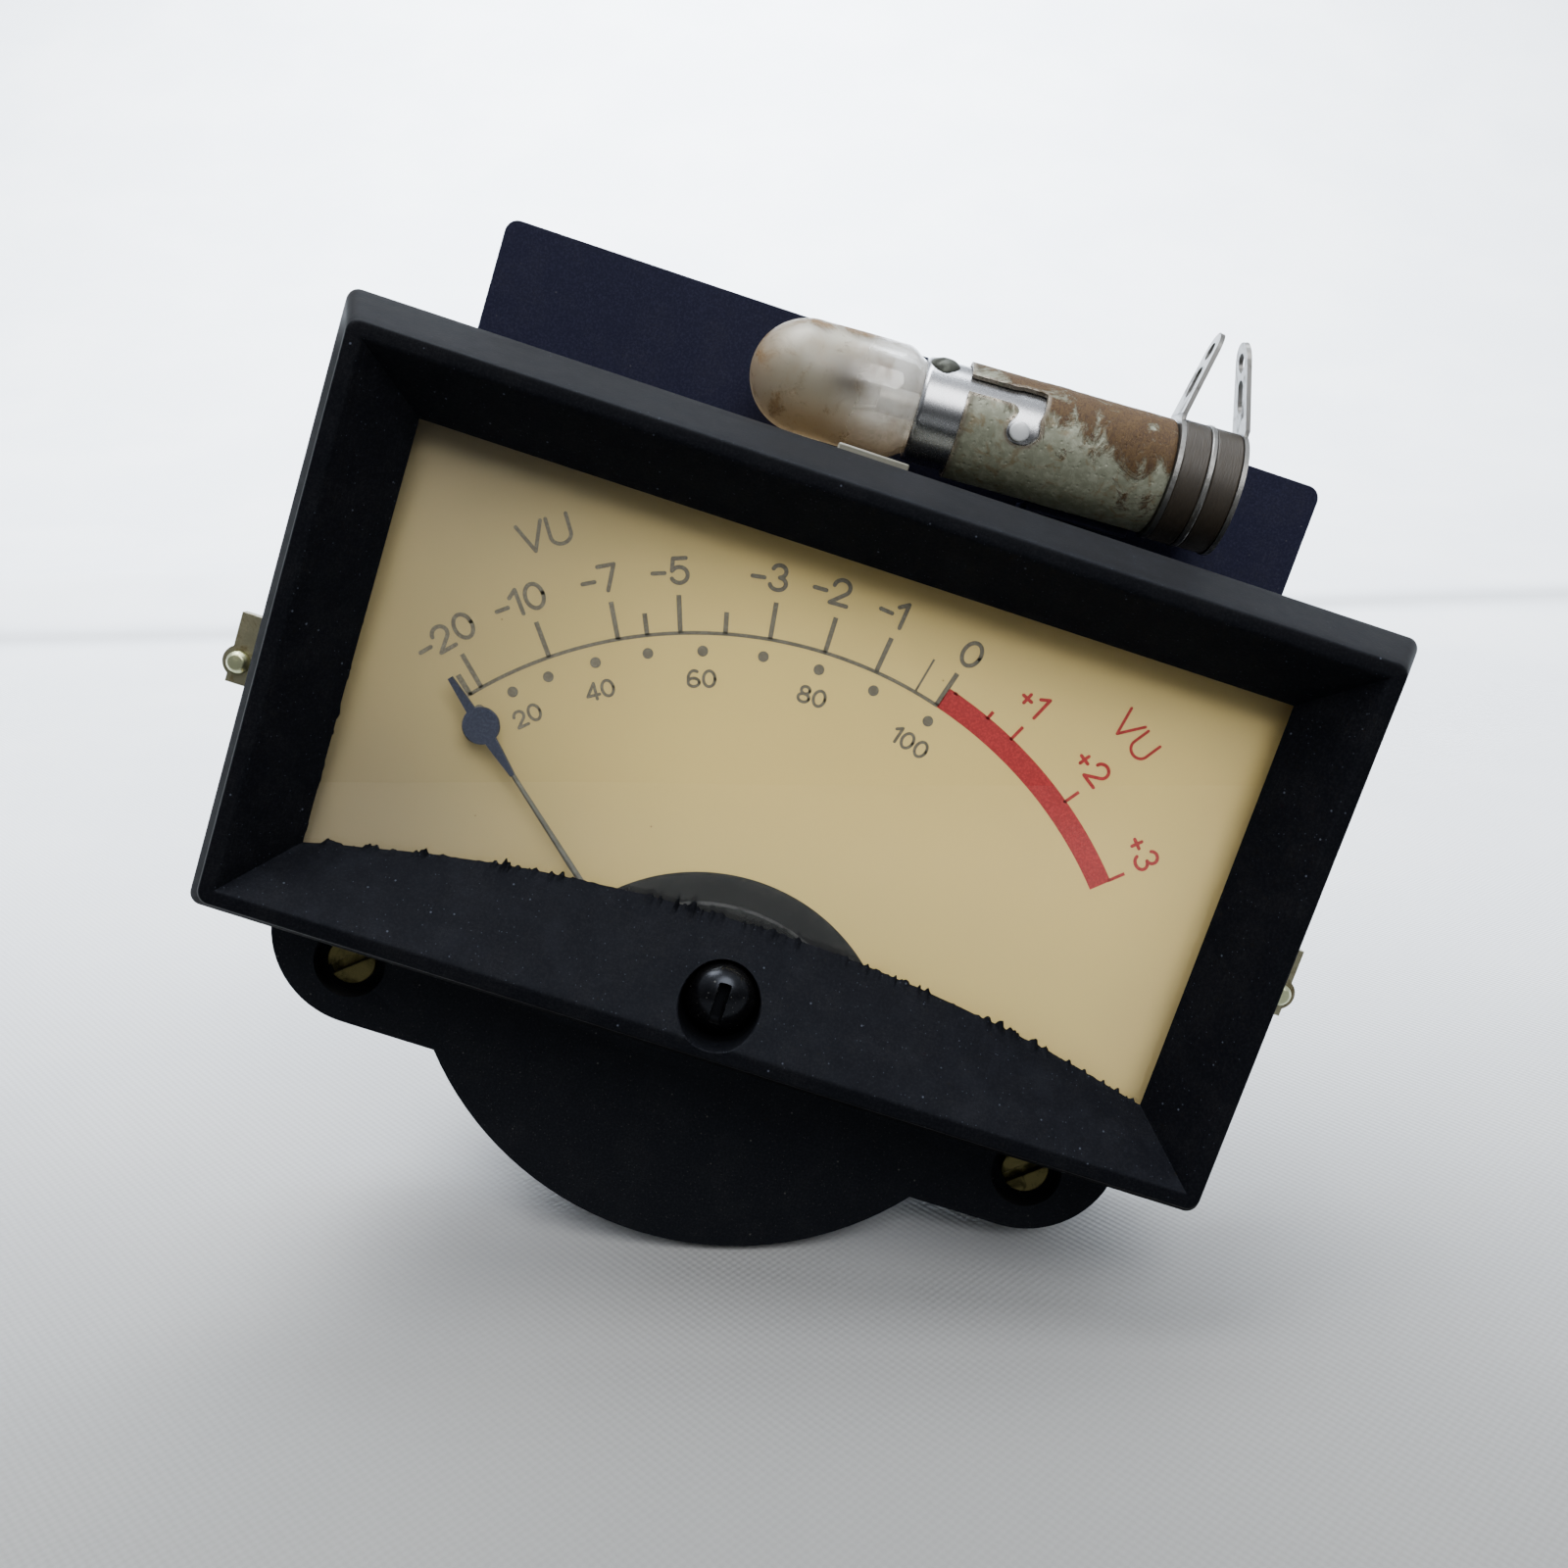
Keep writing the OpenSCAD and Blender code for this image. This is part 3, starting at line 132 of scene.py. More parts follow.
class MeterColours(bpy.types.PropertyGroup):
    """Colours of the meter's finishes."""

    moulding: colour("Moulding", "Black moulding of the bezel", (0.0020, 0.0023, 0.0034))
    case: colour("Case", "Moulding of the front case and flange", (0.0040, 0.0046, 0.0062))
    dust: colour("Dust", "Dust on top faces", (0.075, 0.075, 0.07))
    paper: colour("Dial", "Aged cream of the dial", (0.60, 0.462, 0.163))
    ink: colour("Ink", "Printed scale", (0.092, 0.083, 0.062))
    red: colour("Red", "Printed overload arc", (0.25, 0.0065, 0.009))
    navy: colour("Back plate", "Paint of the back plate", (0.0100, 0.0105, 0.024))
    brass: colour("Brass", "Clean brass", (0.42, 0.31, 0.12))
    stain: colour("Bulb stain", "Brown film on the lamp's glass", (0.20, 0.115, 0.045))
    rust: colour("Rust", "Rust on the lamp socket", (0.072, 0.033, 0.010))
    patina: colour("Patina", "Grey-green dulled plate of the socket", (0.20, 0.212, 0.158))


def sizes():
    """The lengths in millimetres, as attributes."""
    group = bpy.context.scene.meter_sizes
    return type("Sizes", (), {key: getattr(group, key) / MM for key in MeterSizes.__annotations__})


def colours():
    """The scene's colours with an alpha of one, as attributes."""
    group = bpy.context.scene.meter_colours
    return type("Colours", (), {key: (*getattr(group, key), 1.0) for key in MeterColours.__annotations__})


# ---------- arithmetic on whole arrays ----------


def blend01(value, start, end):
    """Smooth step: 0 before start, 1 after end, and 3t^2 - 2t^3 between them."""
    t = np.clip((value - start) / (end - start), 0, 1)
    return t * t * (3 - 2 * t)


def lattice(cells, seed):
    """A number from 0 to 1 for each whole-numbered cell: its three numbers times primes, mixed."""
    mixed = cells[..., 0] * 73856093 ^ cells[..., 1] * 19349663 ^ cells[..., 2] * 83492791 ^ seed * 40503
    mixed = (mixed ^ (mixed >> 13)) * 1274126177 & 0xFFFFFFFF
    return ((mixed ^ (mixed >> 16)) & 0xFFFF) / 65535.0


def lumps(points, size, seed, octaves=3):
    """Cloudy noise from -1 to 1: lattice numbers blended smoothly, each octave half as wide and half as high."""
    total, height = 0, 1.0
    for octave in range(octaves):
        place = points / size * 2**octave
        cell = np.floor(place).astype(np.int64)
        t = place - cell
        t = t * t * (3 - 2 * t)
        value = 0
        for corner in np.ndindex(2, 2, 2):
            weight = np.prod(np.where(np.array(corner) == 1, t, 1 - t), axis=-1)
            value = value + weight * lattice(cell + np.array(corner), seed + octave)
        total = total + height * (2 * value - 1)
        height *= 0.5
    return total / (2 - 2.0 ** (1 - octaves))


def unit(vectors):
    """Vectors divided by their own lengths."""
    return vectors / np.maximum(np.linalg.norm(vectors, axis=-1, keepdims=True), 1e-12)


def cells(rows, columns, wrap_rows=False, wrap_columns=False):
    """Corner numbers of the four-sided cells of a grid whose points are numbered row by row."""
    r = np.arange(rows if wrap_rows else rows - 1)[:, None] + np.zeros((1, 1), int)
    c = np.arange(columns if wrap_columns else columns - 1)[None, :]
    r1, c1 = (r + 1) % rows, (c + 1) % columns
    corners = [r * columns + c, r * columns + c1, r1 * columns + c1, r1 * columns + c]
    return np.stack(np.broadcast_arrays(*corners), axis=-1).reshape(-1, 4)


def eased(stations, radii, steps=4, closed=True):
    """Rounds the corners of a chain of stations: each becomes a quadratic curve between two points taken back
    along its neighbours by its radius, or by 45% of the side where that is shorter."""
    radii = np.broadcast_to(np.asarray(radii, float), stations.shape[:1])
    radii = radii.reshape((-1,) + (1,) * (stations.ndim - 1))
    before, after = np.roll(stations, 1, axis=0), np.roll(stations, -1, axis=0)
    reach_a = np.minimum(radii, 0.45 * np.linalg.norm(before - stations, axis=-1, keepdims=True))
    reach_b = np.minimum(radii, 0.45 * np.linalg.norm(after - stations, axis=-1, keepdims=True))
    a = stations + unit(before - stations) * reach_a
    b = stations + unit(after - stations) * reach_b
    if not closed:
        a[0], b[0], a[-1], b[-1] = stations[0], stations[0], stations[-1], stations[-1]
    t = np.linspace(0, 1, steps).reshape((1, -1) + (1,) * (stations.ndim - 1))
    curve = (1 - t) ** 2 * a[:, None] + 2 * t * (1 - t) * stations[:, None] + t * t * b[:, None]
    return curve


def turned(profile, count=96):
    """Surface of revolution: each radius and height of the profile goes round a circle. Gives height first."""
    profile = np.asarray(profile, float)
    angle = np.arange(count) / count * TAU
    radius, height = profile[:, 0, None], profile[:, 1, None] + 0 * angle
    points = np.stack([height, radius * np.cos(angle), radius * np.sin(angle)], axis=-1)
    closed = np.allclose(profile[0], profile[-1])
    points = points[:-1] if closed else points
    return points.reshape(-1, 3), cells(len(points), count, wrap_rows=closed, wrap_columns=True)


def rounded_profile(profile, radius, steps=4, closed=False):
    """A profile with its corners eased, as one list of points."""
    profile = np.asarray(profile, float)
    curve = eased(profile, radius, steps, closed).reshape(-1, 2)
    return np.concatenate([curve, curve[:1]]) if closed else curve


def swept(section, path, across, up, width=1.0):
    """A closed section carried along a path: its x goes along across, its y along up, with flat ends."""
    section, path = np.asarray(section, float), np.asarray(path, float)
    width = np.broadcast_to(np.asarray(width, float), (len(path),))
    side = section[None, :, 0, None] * width[:, None, None] * across[:, None, :]
    points = path[:, None, :] + side + section[None, :, 1, None] * up[:, None, :]
    n = len(section)
    ends = [list(range(n)), list(range(len(path) * n - 1, (len(path) - 1) * n - 1, -1))]
    return points.reshape(-1, 3), cells(len(path), n, wrap_columns=True).tolist() + ends


def thickened(front, back, faces):
    """Two like sheets joined along every edge that only one face uses: a closed solid."""
    faces = np.asarray(faces)
    n = len(front)
    edges = np.stack([faces, np.roll(faces, -1, axis=1)], axis=-1).reshape(-1, 2)
    _, index, count = np.unique(np.sort(edges, axis=1), axis=0, return_index=True, return_counts=True)
    rim = edges[index[count == 1]]
    walls = np.stack([rim[:, 1], rim[:, 0], rim[:, 0] + n, rim[:, 1] + n], axis=-1)
    return np.concatenate([front, back]), np.concatenate([faces, faces[:, ::-1] + n, walls])


def trimmed(u, v, outside, wrap_v=False):
    """Grid of two parameters with every cell dropped whose middle is outside, where the function is positive.
    The points along a cut are moved down the function's slope until they lie on its zero line."""
    gu, gv = np.meshgrid(u, v, indexing="ij")
    rows, columns = gu.shape
    faces = cells(rows, columns, wrap_columns=wrap_v)
    flat_u, flat_v = gu.ravel().copy(), gv.ravel().copy()
    step_v = v[1] - v[0]
    mid_u = flat_u[faces].mean(axis=1)
    mid_v = flat_v[faces[:, 0]] + step_v / 2
    kept = outside(mid_u, mid_v) < 0
    in_kept, in_cut = np.zeros(rows * columns, bool), np.zeros(rows * columns, bool)
    in_kept[faces[kept].ravel()] = True
    in_cut[faces[~kept].ravel()] = True
    edge = in_kept & in_cut
    h = 1e-3
    for _ in range(4):
        eu, ev = flat_u[edge], flat_v[edge]
        value = outside(eu, ev)
        du = (outside(eu + h, ev) - outside(eu - h, ev)) / (2 * h)
        dv = (outside(eu, ev + h) - outside(eu, ev - h)) / (2 * h)
        scale = np.maximum(du * du + dv * dv, 0.2)
        flat_u[edge] -= value * du / scale
        flat_v[edge] -= value * dv / scale
    return flat_u, flat_v, faces[kept]


def box_distance(x, y, x0, x1, y0, y1, round_by=0.0):
    """Signed distance to a rectangle with rounded corners, negative inside it."""
    dx = np.abs(x - (x0 + x1) / 2) - (x1 - x0) / 2 + round_by
    dy = np.abs(y - (y0 + y1) / 2) - (y1 - y0) / 2 + round_by
    return np.minimum(np.maximum(dx, dy), 0) + np.hypot(np.maximum(dx, 0), np.maximum(dy, 0)) - round_by


# ---------- placing ----------

LAMP_TILT = math.radians(2.5)
LAMP_AT = (9.7, 3.6, 31.86)
PIN_X = -0.55


def on_lamp_axis(points):
    """Points with the lamp's axis first, moved to the lamp: turned by its tilt about Y, then shifted."""
    c, s = math.cos(LAMP_TILT), math.sin(LAMP_TILT)
    turn = np.array([[c, 0, -s], [0, 1, 0], [s, 0, c]])
    return points @ turn.T + np.array(LAMP_AT)


def along_y(points, x=0.0, z=0.0):
    """Points with a turning axis first, laid along Y through the given X and Z."""
    return np.stack([points[:, 1] + x, points[:, 0], points[:, 2] + z], axis=-1)


def at_angle(across, out, angle, pivot_z):
    """Place on the dial: out along a ray at an angle from upright, across at right angles to it."""
    c, s = np.cos(angle), np.sin(angle)
    return across * c + out * s, pivot_z - across * s + out * c


def joined(parts):
    """Several point and face lists as one."""
    points, faces, start = [], [], 0
    for p, f in parts:
        points.append(np.asarray(p, float))
        faces += [[int(i) + start for i in face] for face in f]
        start += len(p)
    return np.concatenate(points), faces


def piece(name, points, faces, finish, body="meter", slot=None, stands_for=(), angle=38, weld=0.002,
          paint=None):
    """A mesh from points in millimetres: doubles merged, faces turned outwards, sharp past the angle."""
    mesh = bpy.data.meshes.new(name)
    mesh.from_pydata((np.asarray(points) * MM).tolist(), [], [list(map(int, f)) for f in faces])
    if paint:
        mesh.attributes.new(paint[0], "FLOAT", "POINT").data.foreach_set("value", paint[1].astype(np.float32))
    bm = bmesh.new()
    bm.from_mesh(mesh)
    bmesh.ops.remove_doubles(bm, verts=bm.verts, dist=weld * MM)
    loose = [v for v in bm.verts if not v.link_faces]
    bmesh.ops.delete(bm, geom=loose, context="VERTS")
    bmesh.ops.recalc_face_normals(bm, faces=bm.faces)
    bm.to_mesh(mesh)
    bm.free()
    return shown(name, mesh, finish, body, stands_for, angle)


def shown(name, mesh, finish, body, stands_for, angle):
    """Puts a mesh in the scene with its finish, and rides it on its body."""
    mesh.shade_smooth()
    mesh.set_sharp_from_angle(angle=math.radians(angle))
    mesh.materials.clear()
    mesh.materials.append(finish)
    made = bpy.data.objects.new(name, mesh)
    bpy.context.scene.collection.objects.link(made)
    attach(made, body)
    if stands_for:
        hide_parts(*stands_for)
    return made


def softened(node, finish, width=0.1, angle=34, segments=2):
    """A merged copy of a CAD node that stands for it, with its flat faces joined and its edges bevelled."""
    source = frame["nodes"][node]
    bm = bmesh.new()
    bm.from_mesh(source.data)
    bmesh.ops.remove_doubles(bm, verts=bm.verts, dist=0.003 * MM)
    flat = math.radians(0.6)
    bmesh.ops.dissolve_limit(bm, angle_limit=flat, verts=bm.verts, edges=bm.edges,
                             use_dissolve_boundaries=False)
    mesh = bpy.data.meshes.new(node + "_finished")
    bm.to_mesh(mesh)
    bm.free()
    made = shown(node + "_finished", mesh, finish, source["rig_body"], (node,), angle)
    bevel = made.modifiers.new("worn edges", "BEVEL")
    bevel.limit_method = "ANGLE"
    bevel.angle_limit = math.radians(angle)
    bevel.width = width * MM
    bevel.segments = segments
    bevel.use_clamp_overlap = True
    return made


def finish_nodes(finish, *nodes):
    """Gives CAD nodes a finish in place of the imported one."""
    for node in nodes:
        mesh = frame["nodes"][node].data
        mesh.materials.clear()
        mesh.materials.append(finish)


# ---------- shader helpers ----------


class Graph:
    """Shorthand for one node tree."""

    def __init__(self, tree):
        self.tree = tree

    def feed(self, socket, value):
        """Links a socket to another one, or sets its value."""
        if isinstance(value, bpy.types.NodeSocket):
            self.tree.links.new(value, socket)
        else:
            socket.default_value = value

    def add(self, kind, inputs=(), **props):
        """A node with its properties set and its inputs fed, given by name or number."""
        made = self.tree.nodes.new("ShaderNode" + kind)
        for key, value in props.items():
            setattr(made, key, value)
        for key, value in dict(inputs).items():
            self.feed(made.inputs[key], value)
        return made

    def millimetres(self, stretch=(1, 1, 1), turn=(0, 0, 0), shift=(0, 0, 0)):
        """Object coordinates in millimetres, stretched, turned and shifted by a Mapping node."""
        source = self.add("TexCoord").outputs["Object"]
        scale = tuple(s / MM for s in stretch)
        inputs = {"Vector": source, "Scale": scale, "Rotation": turn, "Location": shift}
        return self.add("Mapping", inputs).outputs[0]

    def noise(self, place, size, detail=4.0, rough=0.55, twist=0.0):
        """Noise whose lumps are about size millimetres wide."""
        inputs = {"Vector": place, "Scale": 1 / size, "Detail": detail, "Roughness": rough,
                  "Distortion": twist}
        return self.add("TexNoise", inputs).outputs[0]

    def flecks(self, place, size):
        """Distance from scattered points about size millimetres apart, and a colour for each point."""
        made = self.add("TexVoronoi", {"Vector": place, "Scale": 1 / size}, feature="F1")
        return made.outputs["Distance"], made.outputs["Color"]

    def ramp(self, value, start, end, to_start=0.0, to_end=1.0):
        """Smooth step from one value to another."""
        inputs = {0: value, 1: start, 2: end, 3: to_start, 4: to_end}
        return self.add("MapRange", inputs, interpolation_type="SMOOTHSTEP").outputs[0]

    def math(self, operation, a, b=0.0, clamp=False):
        """One step of arithmetic."""
        return self.add("Math", {0: a, 1: b}, operation=operation, use_clamp=clamp).outputs[0]

    def mix(self, amount, a, b, kind="MIX"):
        """Two colours mixed."""
        made = self.add("Mix", {0: amount, 6: a, 7: b}, data_type="RGBA", blend_type=kind)
        return made.outputs[2]

    def axis(self, vector, index):
        """One coordinate of a vector."""
        return self.add("SeparateXYZ", {0: vector}).outputs[index]

    def bump(self, height, distance, strength=1.0):
        """Normal from a height; the distance is in millimetres."""
        inputs = {"Height": height, "Distance": distance * MM, "Strength": strength}
        return self.add("Bump", inputs).outputs[0]

    def use(self, group_name, **inputs):
        """Places a shared effect with its own values and gives its node."""
        made = self.add("Group", node_tree=bpy.data.node_groups[group_name])
        for key, value in inputs.items():
            self.feed(made.inputs[key.replace("_", " ")], value)
        return made.outputs


def effect(name, inputs, outputs, build):
    """A shader node group. Inputs are names with defaults; build gets the graph and its inputs, and returns
    the outputs."""
    tree = bpy.data.node_groups.new(name, "ShaderNodeTree")
    kinds = {float: "NodeSocketFloat", tuple: "NodeSocketColor"}
    for key, value in inputs.items():
        socket = tree.interface.new_socket(key, in_out="INPUT", socket_type=kinds[type(value)])
        socket.default_value = value
    for key, kind in outputs.items():
        tree.interface.new_socket(key, in_out="OUTPUT", socket_type="NodeSocket" + kind)
    graph = Graph(tree)
    source = graph.tree.nodes.new("NodeGroupInput")
    sink = graph.tree.nodes.new("NodeGroupOutput")
    for key, value in build(graph, source.outputs).items():
        graph.feed(sink.inputs[key], value)


def grain_effect(g, ins):
    """Pebbled moulding: fine lumps with a coarser swell under them."""
    place = g.millimetres()
    fine = g.add("TexNoise", {"Vector": place, "Scale": ins["Fineness"], "Detail": 3.0}).outputs[0]
    coarse = g.noise(place, 1.7, 3)
    height = g.math("ADD", g.math("MULTIPLY", fine, 0.6), g.math("MULTIPLY", coarse, 0.4))
    return {"Height": height, "Swell": coarse}


def dust_effect(g, ins):
    """Dust: a veil that gathers on upward faces, and scattered specks of several sizes."""
    place = g.millimetres()
    up = g.axis(g.add("TexCoord").outputs["Normal"], 2)
    upward = g.ramp(up, 0.1, 0.95)
    cloud = g.ramp(g.noise(place, 2.6, 6, 0.65), 0.42, 0.68)
    uneven = g.math("ADD", g.math("MULTIPLY", cloud, 0.6), 0.4)
    veil = g.math("MULTIPLY", g.math("MULTIPLY", upward, ins["Veil"]), uneven)
    distance, pick = g.flecks(place, 0.9)
    chosen = g.ramp(g.axis(pick, 0), 0.80, 0.86)
    speck = g.math("MULTIPLY", g.ramp(distance, 0.13, 0.05), chosen)
    small, pick_small = g.flecks(place, 0.34)
    chosen_small = g.ramp(g.axis(pick_small, 1), 0.72, 0.8)
    tiny = g.math("MULTIPLY", g.ramp(small, 0.2, 0.08), chosen_small)
    specks = g.math("MULTIPLY", g.math("MAXIMUM", speck, g.math("MULTIPLY", tiny, 0.5)), ins["Specks"])
    return {"Mask": g.math("MAXIMUM", veil, specks, clamp=True), "Veil": veil, "Flecks": specks}


def patches_effect(g, ins):
    """Patches: warped noise cut at a level, with soft or hard edges."""
    place = g.millimetres(shift=(3.1, 7.7, 1.3))
    cloud = g.add("TexNoise", {"Vector": place, "Scale": ins["Frequency"], "Detail": 7.0, "Roughness": 0.62,
                               "Distortion": 0.6}).outputs[0]
    start = g.math("SUBTRACT", 0.5, g.math("MULTIPLY", g.math("SUBTRACT", ins["Cover"], 0.5), 0.5))
    end = g.math("ADD", start, ins["Softness"])
    made = g.add("MapRange", {0: cloud, 1: start, 2: end}, interpolation_type="SMOOTHSTEP")
    return {"Mask": made.outputs[0]}


def scratches_effect(g, ins):
    """Hairline scratches: noise stretched thirty times along two directions and cut thin."""
    first = g.noise(g.millimetres(stretch=(0.25, 1, 8), turn=(0.2, 0.5, 0.3)), 0.5, 2)
    second = g.noise(g.millimetres(stretch=(7, 1, 0.22), turn=(0.1, -0.4, 0.9)), 0.6, 2)
    a = g.ramp(g.math("ABSOLUTE", g.math("SUBTRACT", first, 0.5)), 0.035, 0.0)
    b = g.ramp(g.math("ABSOLUTE", g.math("SUBTRACT", second, 0.5)), 0.03, 0.0)
    where = g.ramp(g.noise(g.millimetres(), 4.0, 2), 0.45, 0.62)
    return {"Mask": g.math("MULTIPLY", g.math("MULTIPLY", g.math("MAXIMUM", a, b), where), ins["Amount"])}


def corrosion_effect(g, ins):
    """Corroded plate: rust blooms over dulled plate, with bare spots, pits and crusts that stand up."""
    place = g.millimetres()
    bloom = g.noise(place, 3.4, 8, 0.68, 0.8)
    start = g.math("SUBTRACT", 0.62, g.math("MULTIPLY", ins["Rust amount"], 0.24))
    end = g.math("ADD", start, 0.12)
    mask = g.add("MapRange", {0: bloom, 1: start, 2: end}, interpolation_type="SMOOTHSTEP")
    rusty = mask.outputs[0]
    fibre = g.noise(g.millimetres(stretch=(1.6, 1, 0.7), turn=(0, 0.6, 0)), 0.42, 6, 0.7, 1.5)
    dark = g.ramp(fibre, 0.35, 0.62)
    old_rust = g.mix(0.7, ins["Rust"], (0.022, 0.012, 0.008, 1))
    young_rust = g.mix(0.6, ins["Rust"], (0.078, 0.050, 0.018, 1))
    deep = g.mix(dark, old_rust, young_rust)
    chalk = g.ramp(g.noise(place, 0.8, 7, 0.7, 0.5), 0.40, 0.66)
    dull_plate = g.mix(0.6, ins["Plate"], (0.13, 0.138, 0.10, 1))
    chalky_plate = g.mix(0.35, ins["Plate"], (0.30, 0.315, 0.26, 1))
    plate = g.mix(chalk, dull_plate, chalky_plate)
    brown = g.ramp(g.noise(place, 1.5, 6, 0.6, 1.2), 0.52, 0.66)
    plate = g.mix(g.math("MULTIPLY", brown, 0.55), plate, (0.13, 0.085, 0.035, 1))
    pits, _ = g.flecks(place, 0.5)
    height = g.math("ADD", g.math("MULTIPLY", rusty, g.math("ADD", g.math("MULTIPLY", fibre, 0.8), 0.3)),
                    g.math("MULTIPLY", g.ramp(pits, 0.0, 0.35), 0.35))
    rough = g.math("ADD", g.math("MULTIPLY", rusty, 0.3), 0.5)
    metal = g.math("MULTIPLY", g.math("SUBTRACT", 1.0, rusty), 0.15)
    return {"Colour": g.mix(rusty, plate, deep), "Roughness": rough, "Metal": metal, "Height": height}


def make_effects():
    """Builds every shared effect once."""
    effect("Moulding grain", {"Fineness": 4.0}, {"Height": "Float", "Swell": "Float"}, grain_effect)
    effect("Dust", {"Veil": 0.5, "Specks": 0.5}, {"Mask": "Float", "Veil": "Float", "Flecks": "Float"},
           dust_effect)
    effect("Patches", {"Frequency": 0.4, "Cover": 0.5, "Softness": 0.15}, {"Mask": "Float"},
           patches_effect)
    effect("Scratches", {"Amount": 0.5}, {"Mask": "Float"}, scratches_effect)
    effect("Corrosion", {"Rust amount": 0.5, "Rust": (0.2, 0.06, 0.02, 1), "Plate": (0.2, 0.2, 0.15, 1)},
           {"Colour": "Color", "Roughness": "Float", "Metal": "Float", "Height": "Float"},
           corrosion_effect)


def start_finish(name):
    """An empty material with its graph, shader and output."""
    made = bpy.data.materials.new(name)
    made.use_nodes = True
    made.node_tree.nodes.clear()
    g = Graph(made.node_tree)
    shader = g.add("BsdfPrincipled")
    out = g.add("OutputMaterial")
    g.feed(out.inputs["Surface"], shader.outputs[0])
    return made, g, shader.inputs, out


def moulded(name, base, dust, veil=0.5, specks=0.5, roughness=0.42, fineness=4.0, bump=0.02, scratches=0.3,
            deep=False, rings=(), shine=0.085):
    """Moulded plastic: pebbled grain, faint tone changes, scratches and dust. Rings are lighter circles about
    the pointer's pivot, each with its radius, width, colour and amount: painted highlight along edges, partly
    rubbed wear. Deep pieces carry an attribute of painted shade that darkens recesses, slots and outer walls,
    and get a lighter band above the dial: painted light from above, with dust."""
    made, g, shader, _ = start_finish(name)
    shader["Specular IOR Level"].default_value = shine
    shader["Specular Tint"].default_value = (0.74, 0.82, 1.0, 1.0)
    grain = g.use("Moulding grain", Fineness=fineness)
    dirt = g.use("Dust", Veil=veil, Specks=specks)
    worn = g.use("Patches", Frequency=0.22, Cover=0.5, Softness=0.3)
    lines = g.use("Scratches", Amount=scratches)
    mottle = g.math("MULTIPLY", g.ramp(g.noise(g.millimetres(), 0.22, 4, 0.7), 0.42, 0.7), 0.75)
    lighter = tuple(min(1, c * 1.6 + 0.0035) for c in base[:3]) + (1,)
    tone = g.mix(g.math("ADD", mottle, g.math("MULTIPLY", worn["Mask"], 0.2)), base, lighter)
    tone = g.mix(g.math("MULTIPLY", lines["Mask"], 0.25), tone, (0.06, 0.06, 0.06, 1))
    if rings:
        # rings: painted highlight along edges of the cap, partly rubbed wear, broken up by noise
        place = g.millimetres(stretch=(1, 0, 1), shift=(0, 0, bpy.context.scene.meter_sizes.pivot_drop / MM))
        reach = g.add("VectorMath", {0: place}, operation="LENGTH").outputs["Value"]
        rubbed_wear_and_sheen = g.ramp(g.noise(g.millimetres(), 1.2, 5, 0.65), 0.38, 0.6)
        for radius, width, sheen_and_wear_colour, amount in rings:
            mask = g.ramp(g.math("ABSOLUTE", g.math("SUBTRACT", reach, radius)), width, width * 0.3)
            tone = g.mix(g.math("MULTIPLY", g.math("MULTIPLY", mask, rubbed_wear_and_sheen), amount), tone, sheen_and_wear_colour)
    tone = g.mix(dirt["Veil"], tone, dust)
    tone = g.mix(dirt["Flecks"], tone, tuple(min(1, c * 3.4) for c in dust[:3]) + (1,))
    rough = g.math("ADD", g.math("MULTIPLY", grain["Swell"], 0.1), roughness - 0.05)
    rough = g.math("ADD", rough, g.math("MULTIPLY", dirt["Mask"], 0.35), clamp=True)
    if deep:
        # painted shade: recesses, the adjuster's slot and the bezel's outer walls go towards near black
        painted_shade = g.add("Attribute", attribute_name="painted_shade").outputs["Fac"]
        tone = g.mix(painted_shade, tone, (0.0003, 0.0003, 0.0004, 1))
        rough = g.math("MAXIMUM", rough, painted_shade)
        # painted light from above: a lighter band over the top of the rim and outer wall, with some dust
        top_light_and_dust = g.math("MULTIPLY", g.ramp(g.axis(g.millimetres(), 2), 22.0, 24.5), 0.10)
        tone = g.mix(top_light_and_dust, tone, (0.05, 0.05, 0.052, 1))
    g.feed(shader["Base Color"], tone)
    g.feed(shader["Roughness"], rough)
    height = g.math("ADD", grain["Height"], g.math("MULTIPLY", dirt["Mask"], 0.5))
    g.feed(shader["Normal"], g.bump(height, bump, 0.8))
    return made


def metal(name, base, tarnish, amount=0.4, roughness=0.3, scratches=0.6, frequency=0.5, metallic=1.0,
          veil=0.1, bump=0.012, uneven=0.28):
    """Worn metal: tarnish in patches, hairline scratches and a little dust."""
    made, g, shader, _ = start_finish(name)
    spots = g.use("Patches", Frequency=frequency, Cover=amount, Softness=0.22)
    lines = g.use("Scratches", Amount=scratches)
    dirt = g.use("Dust", Veil=veil, Specks=0.15)
    fine = g.noise(g.millimetres(), 0.12, 3)
    tone = g.mix(spots["Mask"], base, tarnish)
    bright = tuple(min(1, c * 1.25) for c in base[:3]) + (1,)
    tone = g.mix(g.math("MULTIPLY", lines["Mask"], 0.6), tone, bright)
    g.feed(shader["Base Color"], g.mix(dirt["Mask"], tone, (0.3, 0.28, 0.25, 1)))
    shader["Metallic"].default_value = metallic
    rough = g.math("ADD", g.math("MULTIPLY", spots["Mask"], uneven), roughness)
    g.feed(shader["Roughness"], g.math("ADD", rough, g.math("MULTIPLY", fine, 0.12), clamp=True))
    height = g.math("SUBTRACT", g.math("MULTIPLY", fine, 0.4), g.math("MULTIPLY", lines["Mask"], 0.5))
    g.feed(shader["Normal"], g.bump(height, bump, 0.7))
    return made


